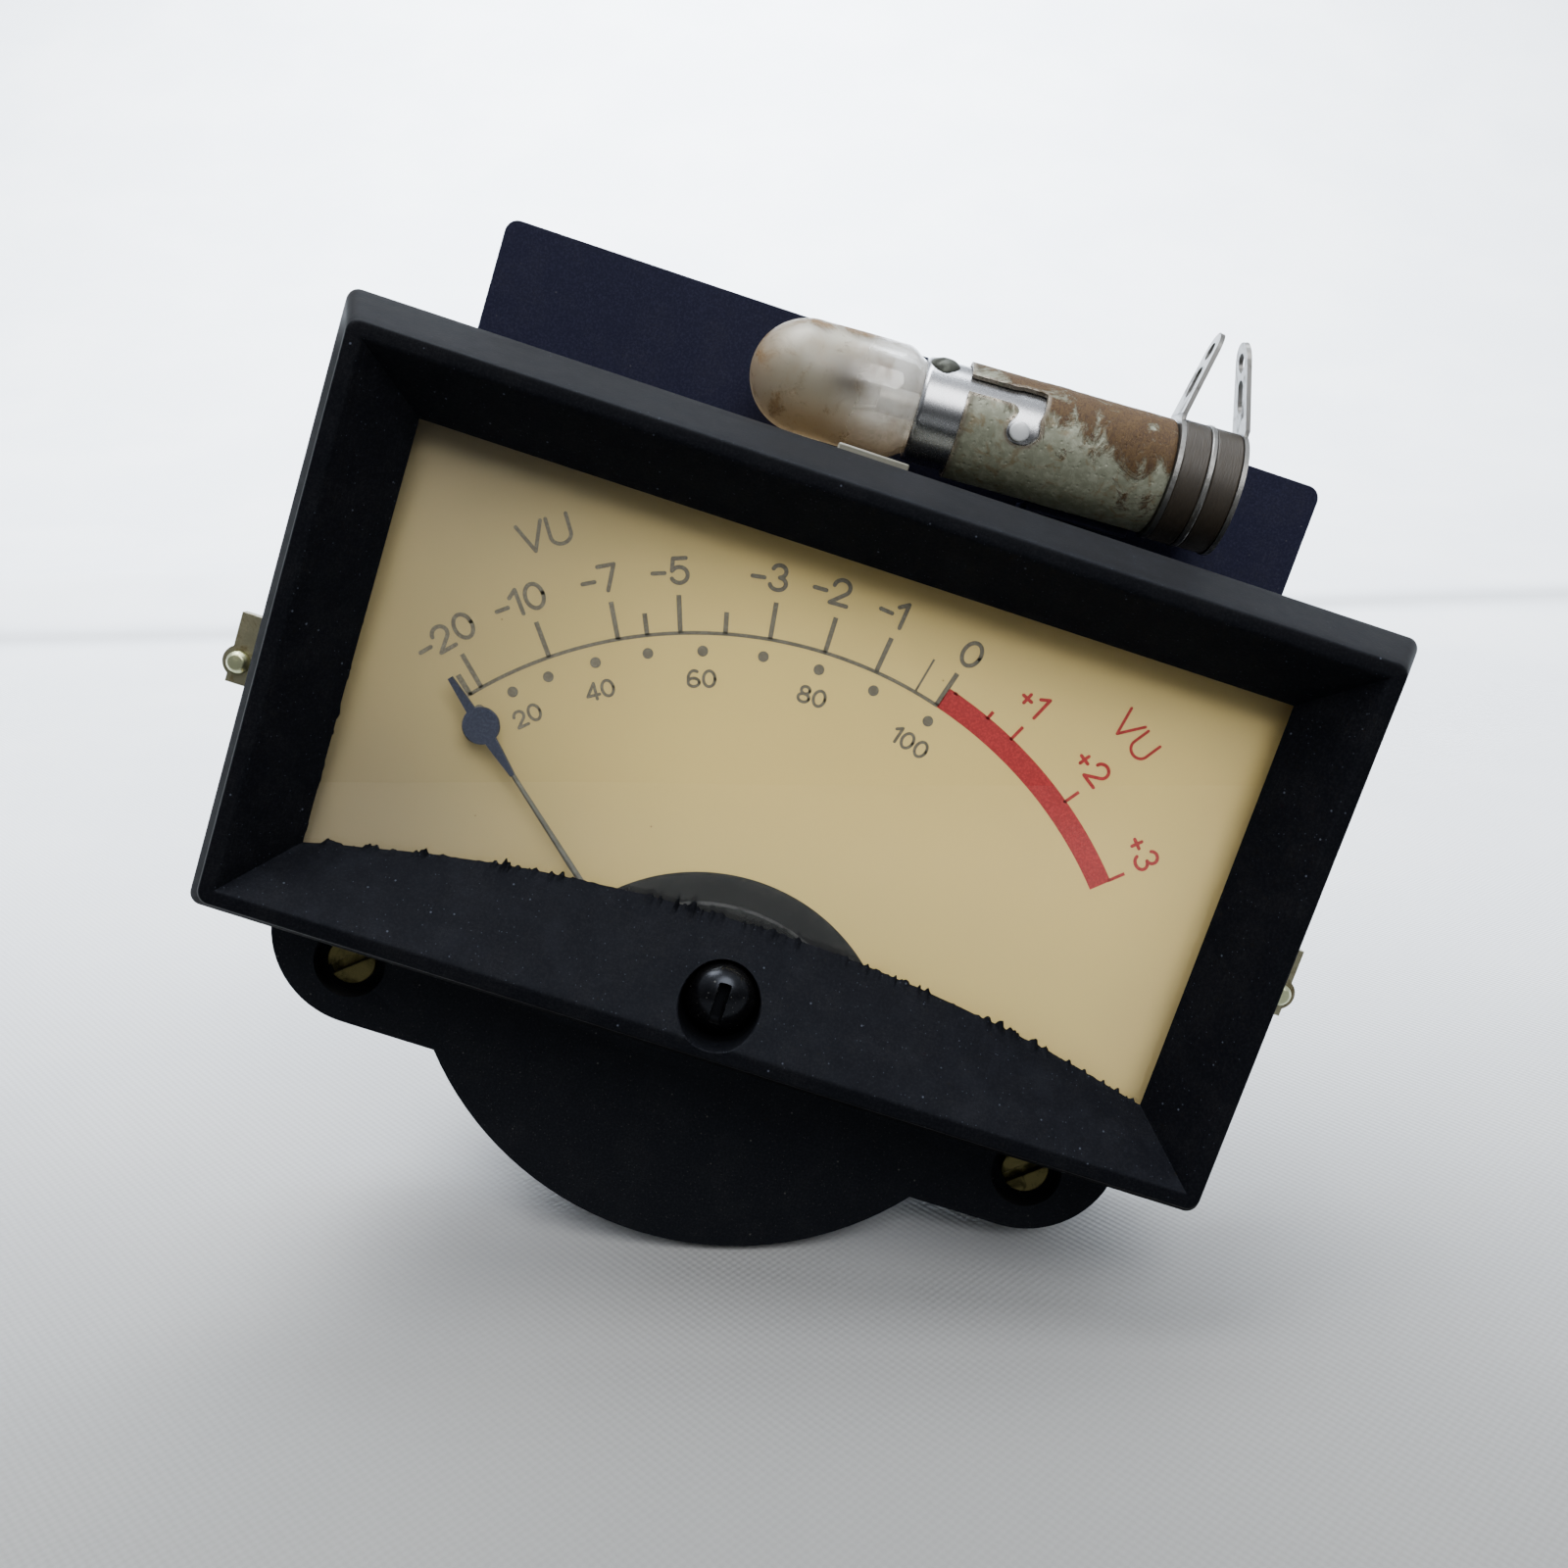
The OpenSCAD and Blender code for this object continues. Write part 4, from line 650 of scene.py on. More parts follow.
def dial_finish(name, base):
    """Aged cream paint: browner towards the edges, with painted shade of the bezel walls towards the left, top
    and bottom, soft blotches, foxing specks and a satin surface."""
    made, g, shader, _ = start_finish(name)
    place = g.millimetres()
    x, z = g.axis(place, 0), g.axis(place, 2)
    sides = g.ramp(g.math("ABSOLUTE", x), 27.0, 38.0)
    edge = g.math("MAXIMUM", sides, g.ramp(g.math("ABSOLUTE", z), 12.0, 19.0))
    # painted shade cast by the bezel walls: darker towards the left, a little at the top and bottom
    left_shade = g.math("MULTIPLY", g.ramp(x, -2.0, -34.0), 0.74)
    top = g.math("MULTIPLY", g.ramp(z, 4.0, 18.0), 0.2)
    bottom = g.math("MULTIPLY", g.ramp(z, 0.0, -13.0), 0.2)
    wall_shade = g.math("ADD", left_shade, g.math("ADD", top, bottom), clamp=True)
    blotch = g.ramp(g.noise(place, 16.0, 3), 0.35, 0.7)
    tone = g.mix(g.math("MULTIPLY", blotch, 0.25), base, (0.56, 0.42, 0.165, 1))
    tone = g.mix(g.math("MULTIPLY", edge, 0.35), tone, (0.36, 0.27, 0.13, 1))
    tone = g.mix(wall_shade, tone, (0.20, 0.165, 0.10, 1))
    distance, pick = g.flecks(place, 2.4)
    spot = g.math("MULTIPLY", g.ramp(distance, 0.05, 0.02), g.ramp(g.axis(pick, 0), 0.86, 0.9))
    fine = g.noise(place, 0.18, 4, 0.6)
    tone = g.mix(g.math("MULTIPLY", g.ramp(fine, 0.45, 0.75), 0.05), tone, (0.42, 0.30, 0.12, 1))
    g.feed(shader["Base Color"], g.mix(g.math("MULTIPLY", spot, 0.6), tone, (0.10, 0.055, 0.02, 1)))
    g.feed(shader["Roughness"], g.math("ADD", g.math("MULTIPLY", fine, 0.15), 0.42))
    g.feed(shader["Normal"], g.bump(fine, 0.006, 0.6))
    return made


def ink_finish(name, base):
    """Screen-printed ink: a little uneven, a little thin."""
    made, g, shader, _ = start_finish(name)
    fine = g.noise(g.millimetres(), 0.16, 4, 0.65)
    paler = tuple(min(1, c * 1.5 + 0.012) for c in base[:3]) + (1,)
    g.feed(shader["Base Color"], g.mix(g.ramp(fine, 0.4, 0.7), base, paler))
    g.feed(shader["Roughness"], g.math("ADD", g.math("MULTIPLY", fine, 0.2), 0.45))
    return made


def pane_finish(name):
    """Clear pane: plain glass to the eye and to reflections, open to shadow rays so that the dial is lit."""
    made, g, shader, out = start_finish(name)
    haze = g.use("Patches", Frequency=0.12, Cover=0.5, Softness=0.4)
    shader["Base Color"].default_value = (0.97, 0.975, 0.96, 1)
    shader["Transmission Weight"].default_value = 1.0
    shader["IOR"].default_value = 1.46
    shader["Specular IOR Level"].default_value = 0.07
    g.feed(shader["Roughness"], g.math("MULTIPLY", haze["Mask"], 0.02))
    clear = g.add("BsdfTransparent", {"Color": (0.95, 0.95, 0.93, 1)})
    light = g.add("LightPath")
    both = g.add("MixShader", {0: light.outputs["Is Shadow Ray"], 2: clear.outputs[0]})
    g.feed(both.inputs[1], out.inputs["Surface"].links[0].from_socket)
    g.feed(out.inputs["Surface"], both.outputs[0])
    return made


def bulb_finish(name, stain):
    """Lamp glass: frosted and browned towards the tip, clearer near the neck, open to shadow rays."""
    made, g, shader, out = start_finish(name)
    place = g.millimetres(shift=tuple(-v for v in LAMP_AT))
    along, up = g.axis(place, 0), g.axis(place, 2)
    cloud = g.noise(place, 4.5, 4, 0.5, 0.3)
    drift = g.math("MULTIPLY", g.math("SUBTRACT", cloud, 0.5), 5.0)
    frost = g.ramp(g.math("ADD", along, drift), -12.2, -16.2)
    edge = g.math("MAXIMUM", g.ramp(along, -19.5, -23.6), g.ramp(up, -1.5, -4.8))
    brown = g.math("MULTIPLY", g.ramp(g.noise(place, 3.0, 6, 0.6, 0.6), 0.45, 0.7), 0.5)
    tone = g.mix(frost, (0.74, 0.75, 0.75, 1), (0.36, 0.342, 0.285, 1))
    tone = g.mix(g.math("MAXIMUM", brown, g.math("MULTIPLY", edge, 0.55)), tone, (0.30, 0.20, 0.105, 1))
    smudge = g.math("MULTIPLY", g.ramp(along, -18.0, -15.4), g.ramp(along, -12.6, -15.2))
    smudge = g.math("MULTIPLY", g.math("MULTIPLY", smudge, g.ramp(g.math("ABSOLUTE", up), 2.4, 0.3)), 0.75)
    tone = g.mix(smudge, tone, (0.10, 0.085, 0.07, 1))
    fine = g.ramp(g.noise(place, 0.3, 4, 0.7), 0.57, 0.68)
    speck = g.math("MULTIPLY", fine, g.math("ADD", edge, 0.2, clamp=True))
    g.feed(shader["Base Color"], g.mix(g.math("MULTIPLY", speck, 0.6), tone, stain))
    shader["Transmission Weight"].default_value = 0.72
    shader["IOR"].default_value = 1.48
    g.feed(shader["Roughness"], g.math("ADD", g.math("MULTIPLY", frost, 0.38), 0.07))
    g.feed(shader["Normal"], g.bump(cloud, 0.03, 0.4))
    clear = g.add("BsdfTransparent", {"Color": (0.75, 0.70, 0.60, 1)})
    light = g.add("LightPath")
    both = g.add("MixShader", {0: light.outputs["Is Shadow Ray"], 2: clear.outputs[0]})
    g.feed(both.inputs[1], out.inputs["Surface"].links[0].from_socket)
    g.feed(out.inputs["Surface"], both.outputs[0])
    return made


def film_finish(name, stain):
    """Grime film: brown where thick, whitish where it flakes, and absent where its mask is empty."""
    made, g, shader, _ = start_finish(name)
    place = g.millimetres(shift=tuple(-v for v in LAMP_AT))
    along = g.axis(place, 0)
    up = g.axis(place, 2)
    cloud = g.noise(place, 2.6, 7, 0.6, 0.5)
    tip = g.ramp(along, -13.5, -21.0)
    top = g.ramp(up, 2.2, 4.6)
    lean = g.math("ADD", g.math("MULTIPLY", tip, 0.05), g.math("MULTIPLY", top, 0.17))
    thick = g.ramp(g.math("ADD", cloud, lean), 0.55, 0.82)
    pale = g.ramp(g.noise(place, 0.9, 7, 0.7, 0.6), 0.56, 0.66)
    g.feed(shader["Base Color"], g.mix(g.math("MULTIPLY", pale, 0.5), stain, (0.62, 0.56, 0.44, 1)))
    cover = g.math("MULTIPLY", thick, g.ramp(along, -11.0, -15.0, 0.25, 1.0))
    g.feed(shader["Alpha"], g.math("MULTIPLY", cover, 0.6))
    shader["Roughness"].default_value = 0.65
    return made


def corroded_finish(name, rust, plate):
    """Corroded plated steel: rust on the upper side and towards the lugs, patina below, bright slot edges."""
    made, g, shader, _ = start_finish(name)
    place = g.millimetres(shift=tuple(-v for v in LAMP_AT))
    lean = g.math("ADD", g.axis(place, 2), g.math("MULTIPLY", g.axis(place, 0), 0.22))
    age = g.use("Corrosion", Rust_amount=g.ramp(lean, -2.5, 5.5, 0.05, 1.15), Rust=rust, Plate=plate)
    worn = g.add("Attribute", attribute_name="rim").outputs["Fac"]
    worn = g.math("MULTIPLY", worn, g.ramp(g.noise(place, 0.5, 3), 0.3, 0.55))
    broken = g.ramp(g.noise(place, 0.9, 5, 0.6), 0.36, 0.56)
    mouth = g.math("MULTIPLY", g.ramp(g.axis(place, 0), -4.3, -5.3), broken)
    tone = g.mix(g.math("MULTIPLY", mouth, 0.7), age["Colour"], (0.035, 0.022, 0.010, 1))
    g.feed(shader["Base Color"], g.mix(worn, tone, (0.20, 0.175, 0.14, 1)))
    shader["Specular IOR Level"].default_value = 0.32
    g.feed(shader["Roughness"], g.math("SUBTRACT", age["Roughness"], g.math("MULTIPLY", worn, 0.3)))
    g.feed(shader["Metallic"], g.math("MAXIMUM", age["Metal"], g.math("MULTIPLY", worn, 0.6)))
    g.feed(shader["Normal"], g.bump(age["Height"], 0.12, 0.9))
    return made


def fibre_finish(name, base):
    """Pressed fibre: fine layers across the washer and darker oil stains."""
    made, g, shader, _ = start_finish(name)
    layers = g.noise(g.millimetres(stretch=(9, 1, 1)), 1.1, 5)
    oil = g.use("Patches", Frequency=0.7, Cover=0.5, Softness=0.25)
    lighter = tuple(min(1, c * 1.5) for c in base[:3]) + (1,)
    tone = g.mix(g.ramp(layers, 0.35, 0.7), base, lighter)
    g.feed(shader["Base Color"], g.mix(g.math("MULTIPLY", oil["Mask"], 0.6), tone, (0.02, 0.013, 0.007, 1)))
    g.feed(shader["Roughness"], g.math("ADD", g.math("MULTIPLY", layers, 0.3), 0.42))
    g.feed(shader["Normal"], g.bump(layers, 0.04, 0.8))
    return made


def milky_finish(name):
    """Milky plastic that lets light through."""
    made, g, shader, _ = start_finish(name)
    cloud = g.use("Patches", Frequency=0.5, Cover=0.5, Softness=0.4)
    # the colour is kept dark: painted shade for the window's shadowed part, and dirt
    g.feed(shader["Base Color"], g.mix(cloud["Mask"], (0.15, 0.148, 0.12, 1), (0.10, 0.095, 0.072, 1)))
    shader["Subsurface Weight"].default_value = 0.35
    shader["Subsurface Radius"].default_value = (0.002, 0.0018, 0.0014)
    shader["Roughness"].default_value = 0.38
    return made


def cloth_finish(name):
    """Pale woven sheet under the meter: fine crossing threads, slow changes of tone, and a tone attribute that
    carries painted shadow and shade.
    """
    made, g, shader, _ = start_finish(name)
    place = g.millimetres(turn=(0.0, 0.32, 0.0))
    warp = g.math("SINE", g.math("MULTIPLY", g.axis(place, 0), TAU / 0.9))
    weft = g.math("SINE", g.math("MULTIPLY", g.axis(place, 1), TAU / 0.9))
    weave = g.math("MULTIPLY", warp, weft)
    slow = g.noise(place, 60.0, 3)
    # tone attribute: painted shadow and shade from the stage
    tone = g.add("Attribute", attribute_name="tone").outputs["Color"]
    pale = g.mix(g.ramp(slow, 0.35, 0.7), (0.93, 0.94, 0.955, 1), (1, 1, 1, 1))
    thread = g.mix(g.ramp(weave, -0.8, 0.8), (0.93, 0.93, 0.93, 1), (1, 1, 1, 1))
    g.feed(shader["Base Color"], g.mix(1.0, g.mix(1.0, tone, pale, "MULTIPLY"), thread, "MULTIPLY"))
    shader["Roughness"].default_value = 0.85
    shader["Specular IOR Level"].default_value = 0.2
    g.feed(shader["Normal"], g.bump(g.math("ADD", weave, g.math("MULTIPLY", slow, 2.0)), 0.06, 0.6))
    return made


def make_finishes():
    """Every finish of the meter, by name."""
    c = colours()
    dull = (0.20, 0.15, 0.07, 1)
    made = {
        "bezel": moulded("bezel_moulding", c.moulding, (0.052, 0.060, 0.082, 1), veil=0.1, specks=0.28,
                         roughness=0.54, shine=0.06, deep=True),
        "case": moulded("case_moulding_dark", c.case, c.dust, veil=0.2, specks=0.16, roughness=0.5,
                        bump=0.03),
        "rear": moulded("rear_moulding_black", (0.0035, 0.0037, 0.0045, 1), c.dust, veil=0.25, specks=0.2,
                        roughness=0.38),
        # cap rings: painted highlight along the drum's edge and the cap's rounded rim, partly rubbed wear
        "cap": moulded("cap_enamel", (0.0036, 0.0042, 0.0046, 1), c.dust, veil=0.05, specks=0.3,
                       roughness=0.5, bump=0.01, scratches=0.4, shine=0.05,
                       rings=((13.85, 0.14, (0.055, 0.058, 0.062, 1), 0.6),
                              (15.9, 0.75, (0.021, 0.021, 0.020, 1), 0.35))),
        "gloss": moulded("adjuster_gloss", (0.0012, 0.0012, 0.0016, 1), c.dust, veil=0.04, specks=0.35,
                         roughness=0.26, bump=0.004, shine=0.3, deep=True),
        "navy": moulded("navy_plate_paint", c.navy, c.dust, veil=0.15, specks=0.10, roughness=0.48,
                        fineness=7.0, bump=0.012, scratches=0.5),
        "dial": dial_finish("dial_cream_paint", c.paper),
        "ink": ink_finish("scale_ink", c.ink),
        "red": ink_finish("overload_ink", c.red),
        "pane": pane_finish("clear_pane_glass"),
        "bulb": bulb_finish("browned_glass", c.stain),
        "film": film_finish("grime_film", c.stain),
        "socket": corroded_finish("corroded_socket", c.rust, c.patina),
        "fibre": fibre_finish("oiled_fibre", (0.015, 0.0105, 0.0058, 1)),
        "milky": milky_finish("milky_plastic_window"),
        "brass": metal("turned_brass", c.brass, dull, amount=0.35, roughness=0.28),
        "aged": metal("tarnished_brass", (0.10, 0.088, 0.036, 1), (0.035, 0.032, 0.014, 1), amount=0.6,
                      roughness=0.36, scratches=1.0, veil=0.25),
        "steel": metal("plated_steel", (0.55, 0.54, 0.51, 1), (0.30, 0.27, 0.22, 1), amount=0.35,
                       roughness=0.27),
        "clamp": metal("passivated_steel", (0.27, 0.26, 0.175, 1), (0.12, 0.095, 0.05, 1), amount=0.6,
                       roughness=0.38, veil=0.2),
        "clamp_end": metal("screw_plate", (0.56, 0.60, 0.38, 1), (0.30, 0.28, 0.14, 1), amount=0.4,
                           roughness=0.3),
        "tinned": metal("tinned_plate", (0.20, 0.20, 0.197, 1), (0.075, 0.07, 0.06, 1), amount=0.5,
                        roughness=0.34),
        "nickel": metal("nickel_bright", (0.35, 0.36, 0.385, 1), (0.13, 0.128, 0.125, 1), amount=0.36,
                        roughness=0.22, frequency=0.45, scratches=0.5, bump=0.004, uneven=0.1),
        "pins": metal("pin_nickel", (0.50, 0.52, 0.55, 1), (0.30, 0.31, 0.32, 1), amount=0.3, roughness=0.36,
                      metallic=0.3),
        "stem": metal("pointer_grey", (0.075, 0.077, 0.068, 1), (0.04, 0.04, 0.035, 1), amount=0.5,
                      roughness=0.45, metallic=0.25),
        "tip": moulded("tip_lacquer", (0.030, 0.034, 0.052, 1), c.dust, veil=0.05, specks=0.04,
                       roughness=0.35, bump=0.004, scratches=0.1),
        "solder": metal("dull_solder", (0.075, 0.08, 0.07, 1), (0.03, 0.032, 0.028, 1), amount=0.5,
                        roughness=0.42, veil=0.05),
        "alloy": metal("satin_alloy", (0.62, 0.63, 0.64, 1), (0.42, 0.42, 0.42, 1), amount=0.4,
                       roughness=0.34),
        "copper": metal("enamelled_copper", (0.52, 0.19, 0.08, 1), (0.28, 0.09, 0.04, 1), amount=0.4,
                        roughness=0.3, frequency=2.0),
        "bronze": metal("spring_bronze_strip", (0.52, 0.34, 0.14, 1), (0.30, 0.20, 0.09, 1), amount=0.3,
                        roughness=0.3),
        "magnet": metal("magnet_ground", (0.20, 0.21, 0.22, 1), (0.12, 0.12, 0.12, 1), amount=0.5,
                        roughness=0.5),
        "iron": metal("soft_iron_plated", (0.36, 0.37, 0.38, 1), (0.24, 0.22, 0.19, 1), amount=0.4,
                      roughness=0.4),
        "rectifier": moulded("rectifier_lacquer", (0.13, 0.045, 0.02, 1), c.dust, veil=0.1, specks=0.1,
                             roughness=0.35),
        "wire": moulded("wire_cover", (0.22, 0.02, 0.02, 1), c.dust, veil=0.1, specks=0.1, roughness=0.4),
        "filament": metal("drawn_wire", (0.42, 0.42, 0.42, 1), (0.2, 0.19, 0.18, 1), amount=0.4,
                          roughness=0.35),
    }
    return made


FINISH = {}


# ---------- pieces ----------


def spread(total, count, reach, corner_steps=4):
    """Distances along a side: a few close together near each end, evenly spaced between, without the last."""
    near = np.linspace(0, reach, corner_steps + 1)
    middle = np.linspace(reach, total - reach, count - 2 * corner_steps + 1)
    return np.concatenate([near[:-1], middle, total - near[-2:0:-1]])


def outline(half_w, half_h, radius, counts, reach):
    """Rectangle seen from the front, anticlockwise from its lower left corner. A corner's arc is shared by
    its two sides: at a distance d < radius from the corner it has turned by 45 degrees times 1 - d / radius."""
    def rounded_side(total, count):
        d = spread(total, count, reach)
        near = np.minimum(d, total - d)
        turn = math.pi / 4 * np.clip(1 - near / max(radius, 1e-6), 0, 1)
        arc_d = np.where(near < radius, radius - radius * np.sin(turn), near)
        inward = np.where(near < radius, radius - radius * np.cos(turn), 0)
        return np.where(d < total / 2, arc_d, total - arc_d), inward
    along_w, in_w = rounded_side(2 * half_w, counts[0])
    along_h, in_h = rounded_side(2 * half_h, counts[1])
    along_t, in_t = rounded_side(2 * half_w, counts[2])
    return np.concatenate([
        np.stack([along_w - half_w, in_w - half_h], -1),
        np.stack([half_w - in_h, along_h - half_h], -1),
        np.stack([half_w - along_t, half_h - in_t], -1),
        np.stack([in_h - half_w, half_h - along_h], -1)])


def opening(half_w, half_h, arch_top, arch_r, grow, counts, reach):
    """Opening with an arched sill: its lowest side follows arch_top - arch_r + sqrt(arch_r^2 - x^2)."""
    def sill(x):
        """Height of the arched sill."""
        return arch_top - grow - arch_r + np.sqrt(arch_r**2 - x**2)
    w, h = half_w + grow, half_h + grow
    foot = sill(np.array(w))
    bottom = spread(2 * w, counts[0], reach) - w
    side = spread(h - foot, counts[1], reach) + foot
    top = w - spread(2 * w, counts[2], reach)
    return np.concatenate([
        np.stack([bottom, sill(bottom)], -1),
        np.stack([0 * side + w, side], -1),
        np.stack([top, 0 * top + h], -1),
        np.stack([0 * side - w, h + foot - side], -1)])


def build_bezel():
    """Bezel: a ring of stations round the opening (outer back edge, rim, slopes, window seat, register), with
    eased edges, carried round the frame. The sill's upper edge is ragged, and the adjuster's recess is let
    into it."""
    s = sizes()
    counts, reach = (660, 130, 220), s.corner
    half_w, half_h = s.bezel_width / 2, s.bezel_height / 2
    back = s.bezel_front + s.bezel_depth
    rim_w, rim_h = half_w - s.flare - s.rim, half_h - s.flare - s.rim
    open_w, open_h = rim_w - s.slope, rim_h - s.slope
    arch_r = (open_w**2 + s.arch_rise**2) / (2 * s.arch_rise)
    arch_top = s.arch_rise - open_h
    pane = s.bezel_front + s.slope_depth
    register = high("bezel", 1)
    seat, clearance, well_floor, pin_hole = 0.9, 0.2, 5.0, 1.7
    cavity_w, cavity_h = high("dial", 0) + clearance, high("dial", 2) + clearance

    def at(flat, y):
        """A flat outline stood up at a depth."""
        return np.stack([flat[:, 0], np.full(len(flat), y), flat[:, 1]], -1)
    hole = opening(open_w, open_h, arch_top, arch_r, 0, counts, reach)
    pocket = opening(open_w, open_h, arch_top, arch_r, seat, counts, reach)
    square = outline(cavity_w, cavity_h, 0.0, counts, reach)
    stations = np.stack([
        at(outline(half_w, half_h, s.corner, counts, reach), back),
        at(outline(half_w - s.flare, half_h - s.flare, s.corner, counts, reach), s.bezel_front),
        at(outline(rim_w, rim_h, 0.0, counts, reach), s.bezel_front),
        at(hole, pane), at(pocket, pane), at(pocket, register), at(square, register), at(square, back)])
    curve = eased(stations, [0.12, 0.2, 0.22, 0.1, 0.02, 0.02, 0.02, 0.02], 4)
    rows = []
    for k, steps in enumerate([7, 4, 26, 2, 1, 1, 1, 2]):
        rows.append(curve[k])
        t = np.linspace(0, 1, steps + 1)[1:-1, None, None]
        rows.append(curve[k, -1] * (1 - t) + curve[(k + 1) % 8, 0] * t)
    grid = np.concatenate(rows)
    n_rows, n = grid.shape[:2]
    flat = grid.reshape(-1, 3)
    # ragged paint on the sill's edge and low down on the left side
    column = np.tile(np.arange(n), n_rows)
    on_sill = column < counts[0]
    on_left = column > counts[0] + counts[1] + counts[2]
    close = blend01(flat[:, 1], pane - 0.5, pane - 0.02) * (flat[:, 1] < pane + 0.05)
    grit = np.maximum(lumps(flat * [1, 0.15, 0.3], 0.36, 5, 2) + 0.05, 0) * 2.1
    grains = grit * blend01(lumps(flat * [1, 0, 0], 4.0, 7, 2), -0.6, 0.1)
    flakes = 0.5 * np.maximum(lumps(flat, 1.4, 7, 4) - 0.15, 0)
    rag = grains + flakes + 0.22 * lumps(flat * [1, 0.2, 0.3], 3.5, 9, 2)
    cover = blend01(np.abs(flat[:, 0] - 8.0), 0.0, 9.0) * 0.5 + 0.5
    flat[:, 2] += np.where(on_sill, close * cover * s.crumbs * (rag - 0.1), 0)
    flat[:, 1] -= np.where(on_sill, close * cover * 0.35 * s.crumbs * np.maximum(rag, 0), 0)
    low_left = blend01(flat[:, 2], 4.0, -2.0)
    side_rag = np.maximum(lumps(flat * [0.2, 0.2, 1], 1.1, 21, 4), -0.05)
    flat[:, 0] += np.where(on_left, close * low_left * 0.9 * s.crumbs * side_rag, 0)
    # slightly uneven faces and softly worn rim
    wave = lumps(flat, 7.0, 3, 2)
    visible = blend01(-flat[:, 1], -back, -back + 0.6)
    flat[:, 1] += 0.03 * wave * visible * blend01(flat[:, 1], s.bezel_front - 0.1, s.bezel_front + 0.4)
    nick = np.maximum(lumps(flat, 1.3, 31, 3) - 0.45, 0)
    nick *= blend01(-flat[:, 1], -s.bezel_front - 0.35, -s.bezel_front)
    flat[:, 1] += 0.35 * nick
    faces = cells(n_rows, n, wrap_rows=True, wrap_columns=True)
    # recess: drop the cells inside the circle, lay the hole's edge on it, and carry it back to the floor
    centre = np.array([0.0, -s.zero_drop])
    radius = s.recess + 0.1
    middle = flat[faces].mean(axis=1)
    gone = (np.hypot(middle[:, 0], middle[:, 2] - centre[1]) < radius) & (middle[:, 1] < pane - 0.4)
    in_gone, in_kept = np.zeros(len(flat), bool), np.zeros(len(flat), bool)
    in_gone[faces[gone].ravel()] = True
    in_kept[faces[~gone].ravel()] = True
    edge = np.nonzero(in_gone & in_kept)[0]
    away = flat[edge][:, [0, 2]] - centre
    order = np.argsort(np.arctan2(away[:, 1], away[:, 0]))
    edge, away = edge[order], unit(away[order])
    steep = s.slope_depth / (arch_top + rim_h)
    new_z = centre[1] + radius * away[:, 1]
    flat[edge, 1] += (new_z - flat[edge, 2]) * steep
    flat[edge, 0], flat[edge, 2] = radius * away[:, 0], new_z
    mouth_y = flat[edge, 1]
    floor = s.bezel_front + well_floor

    def ring(r, y):
        """One turn of the well: a circle about its middle, at a depth."""
        return np.stack([r * away[:, 0], np.broadcast_to(y, (len(edge),)), centre[1] + r * away[:, 1]], -1)
    rings = [flat[edge], ring(s.recess, mouth_y + 0.12), ring(s.recess, (mouth_y + floor) / 2),
             ring(s.recess, floor - 0.15), ring(s.recess - 0.15, floor), ring(pin_hole, floor),
             ring(pin_hole, back - 0.05), ring(0, back - 0.05)]
    well = np.concatenate(rings)
    # painted shade: outer walls darker than the rim, the top one least, and the well darkest
    row = np.repeat(np.arange(n_rows), n)
    outside = (0.97 - 0.47 * blend01(flat[:, 2], 20, 24)) * blend01(row, 1, 3) * blend01(-row, -11, -9)
    painted_shade = np.concatenate([outside, np.zeros(2 * len(edge)), np.full(len(well) - 2 * len(edge), 0.9)])
    well_faces = cells(len(rings), len(edge), wrap_columns=True)
    piece("bezel_moulded", *joined([(flat, faces[~gone]), (well, well_faces)]), FINISH["bezel"],
          slot="black_moulding", stands_for=("bezel",), angle=32, paint=("painted_shade", painted_shade))


def arc_band(radius, width, start, end, y, t, pivot_z):
    """Printed arc: a band of the given width, from one angle to another, as a slab in front of the dial."""
    angle = np.radians(np.linspace(start, end, max(8, int(abs(end - start) * 2))))
    section = np.array([[-width / 2, 0], [width / 2, 0], [width / 2, -t], [-width / 2, -t]])
    x, z = at_angle(np.zeros_like(angle), np.full_like(angle, radius), angle, pivot_z)
    path = np.stack([x, np.full_like(x, y), z], -1)
    across = np.stack([np.sin(angle), 0 * angle, np.cos(angle)], -1)
    up = np.tile([0.0, 1.0, 0.0], (len(angle), 1))
    return swept(section, path, across, up)


def mark(r0, r1, width, angle, y, t, pivot_z):
    """Printed line along a ray, from one radius to another."""
    a = math.radians(angle)
    across = np.array([-width, width, width, -width]) / 2
    out = np.array([r0, r0, r1, r1], float)
    x, z = at_angle(across, out, a, pivot_z)
    front = np.stack([x, np.full(4, y - t), z], -1)
    points = np.concatenate([front, front + [0, t, 0]])
    return points, [[0, 1, 2, 3], [7, 6, 5, 4], [0, 4, 5, 1], [1, 5, 6, 2], [2, 6, 7, 3], [3, 7, 4, 0]]


def dot(r, radius, angle, y, t, pivot_z, count=28):
    """Printed dot."""
    turn = np.arange(count) / count * TAU
    a = math.radians(angle)
    x, z = at_angle(radius * np.cos(turn), r + radius * np.sin(turn), a, pivot_z)
    front = np.stack([x, np.full(count, y - t), z], -1)
    ring = cells(2, count, wrap_columns=True).tolist()
    ends = [list(range(count)), list(range(2 * count - 1, count - 1, -1))]
    return np.concatenate([front, front + [0, t, 0]]), ring + ends


def bow(cx, cy, rx, ry, start, end, count=20):
    """Points on an elliptic arc between two angles in degrees."""
    a = np.radians(np.linspace(start, end, count))
    return np.stack([cx + rx * np.cos(a), cy + ry * np.sin(a)], -1)


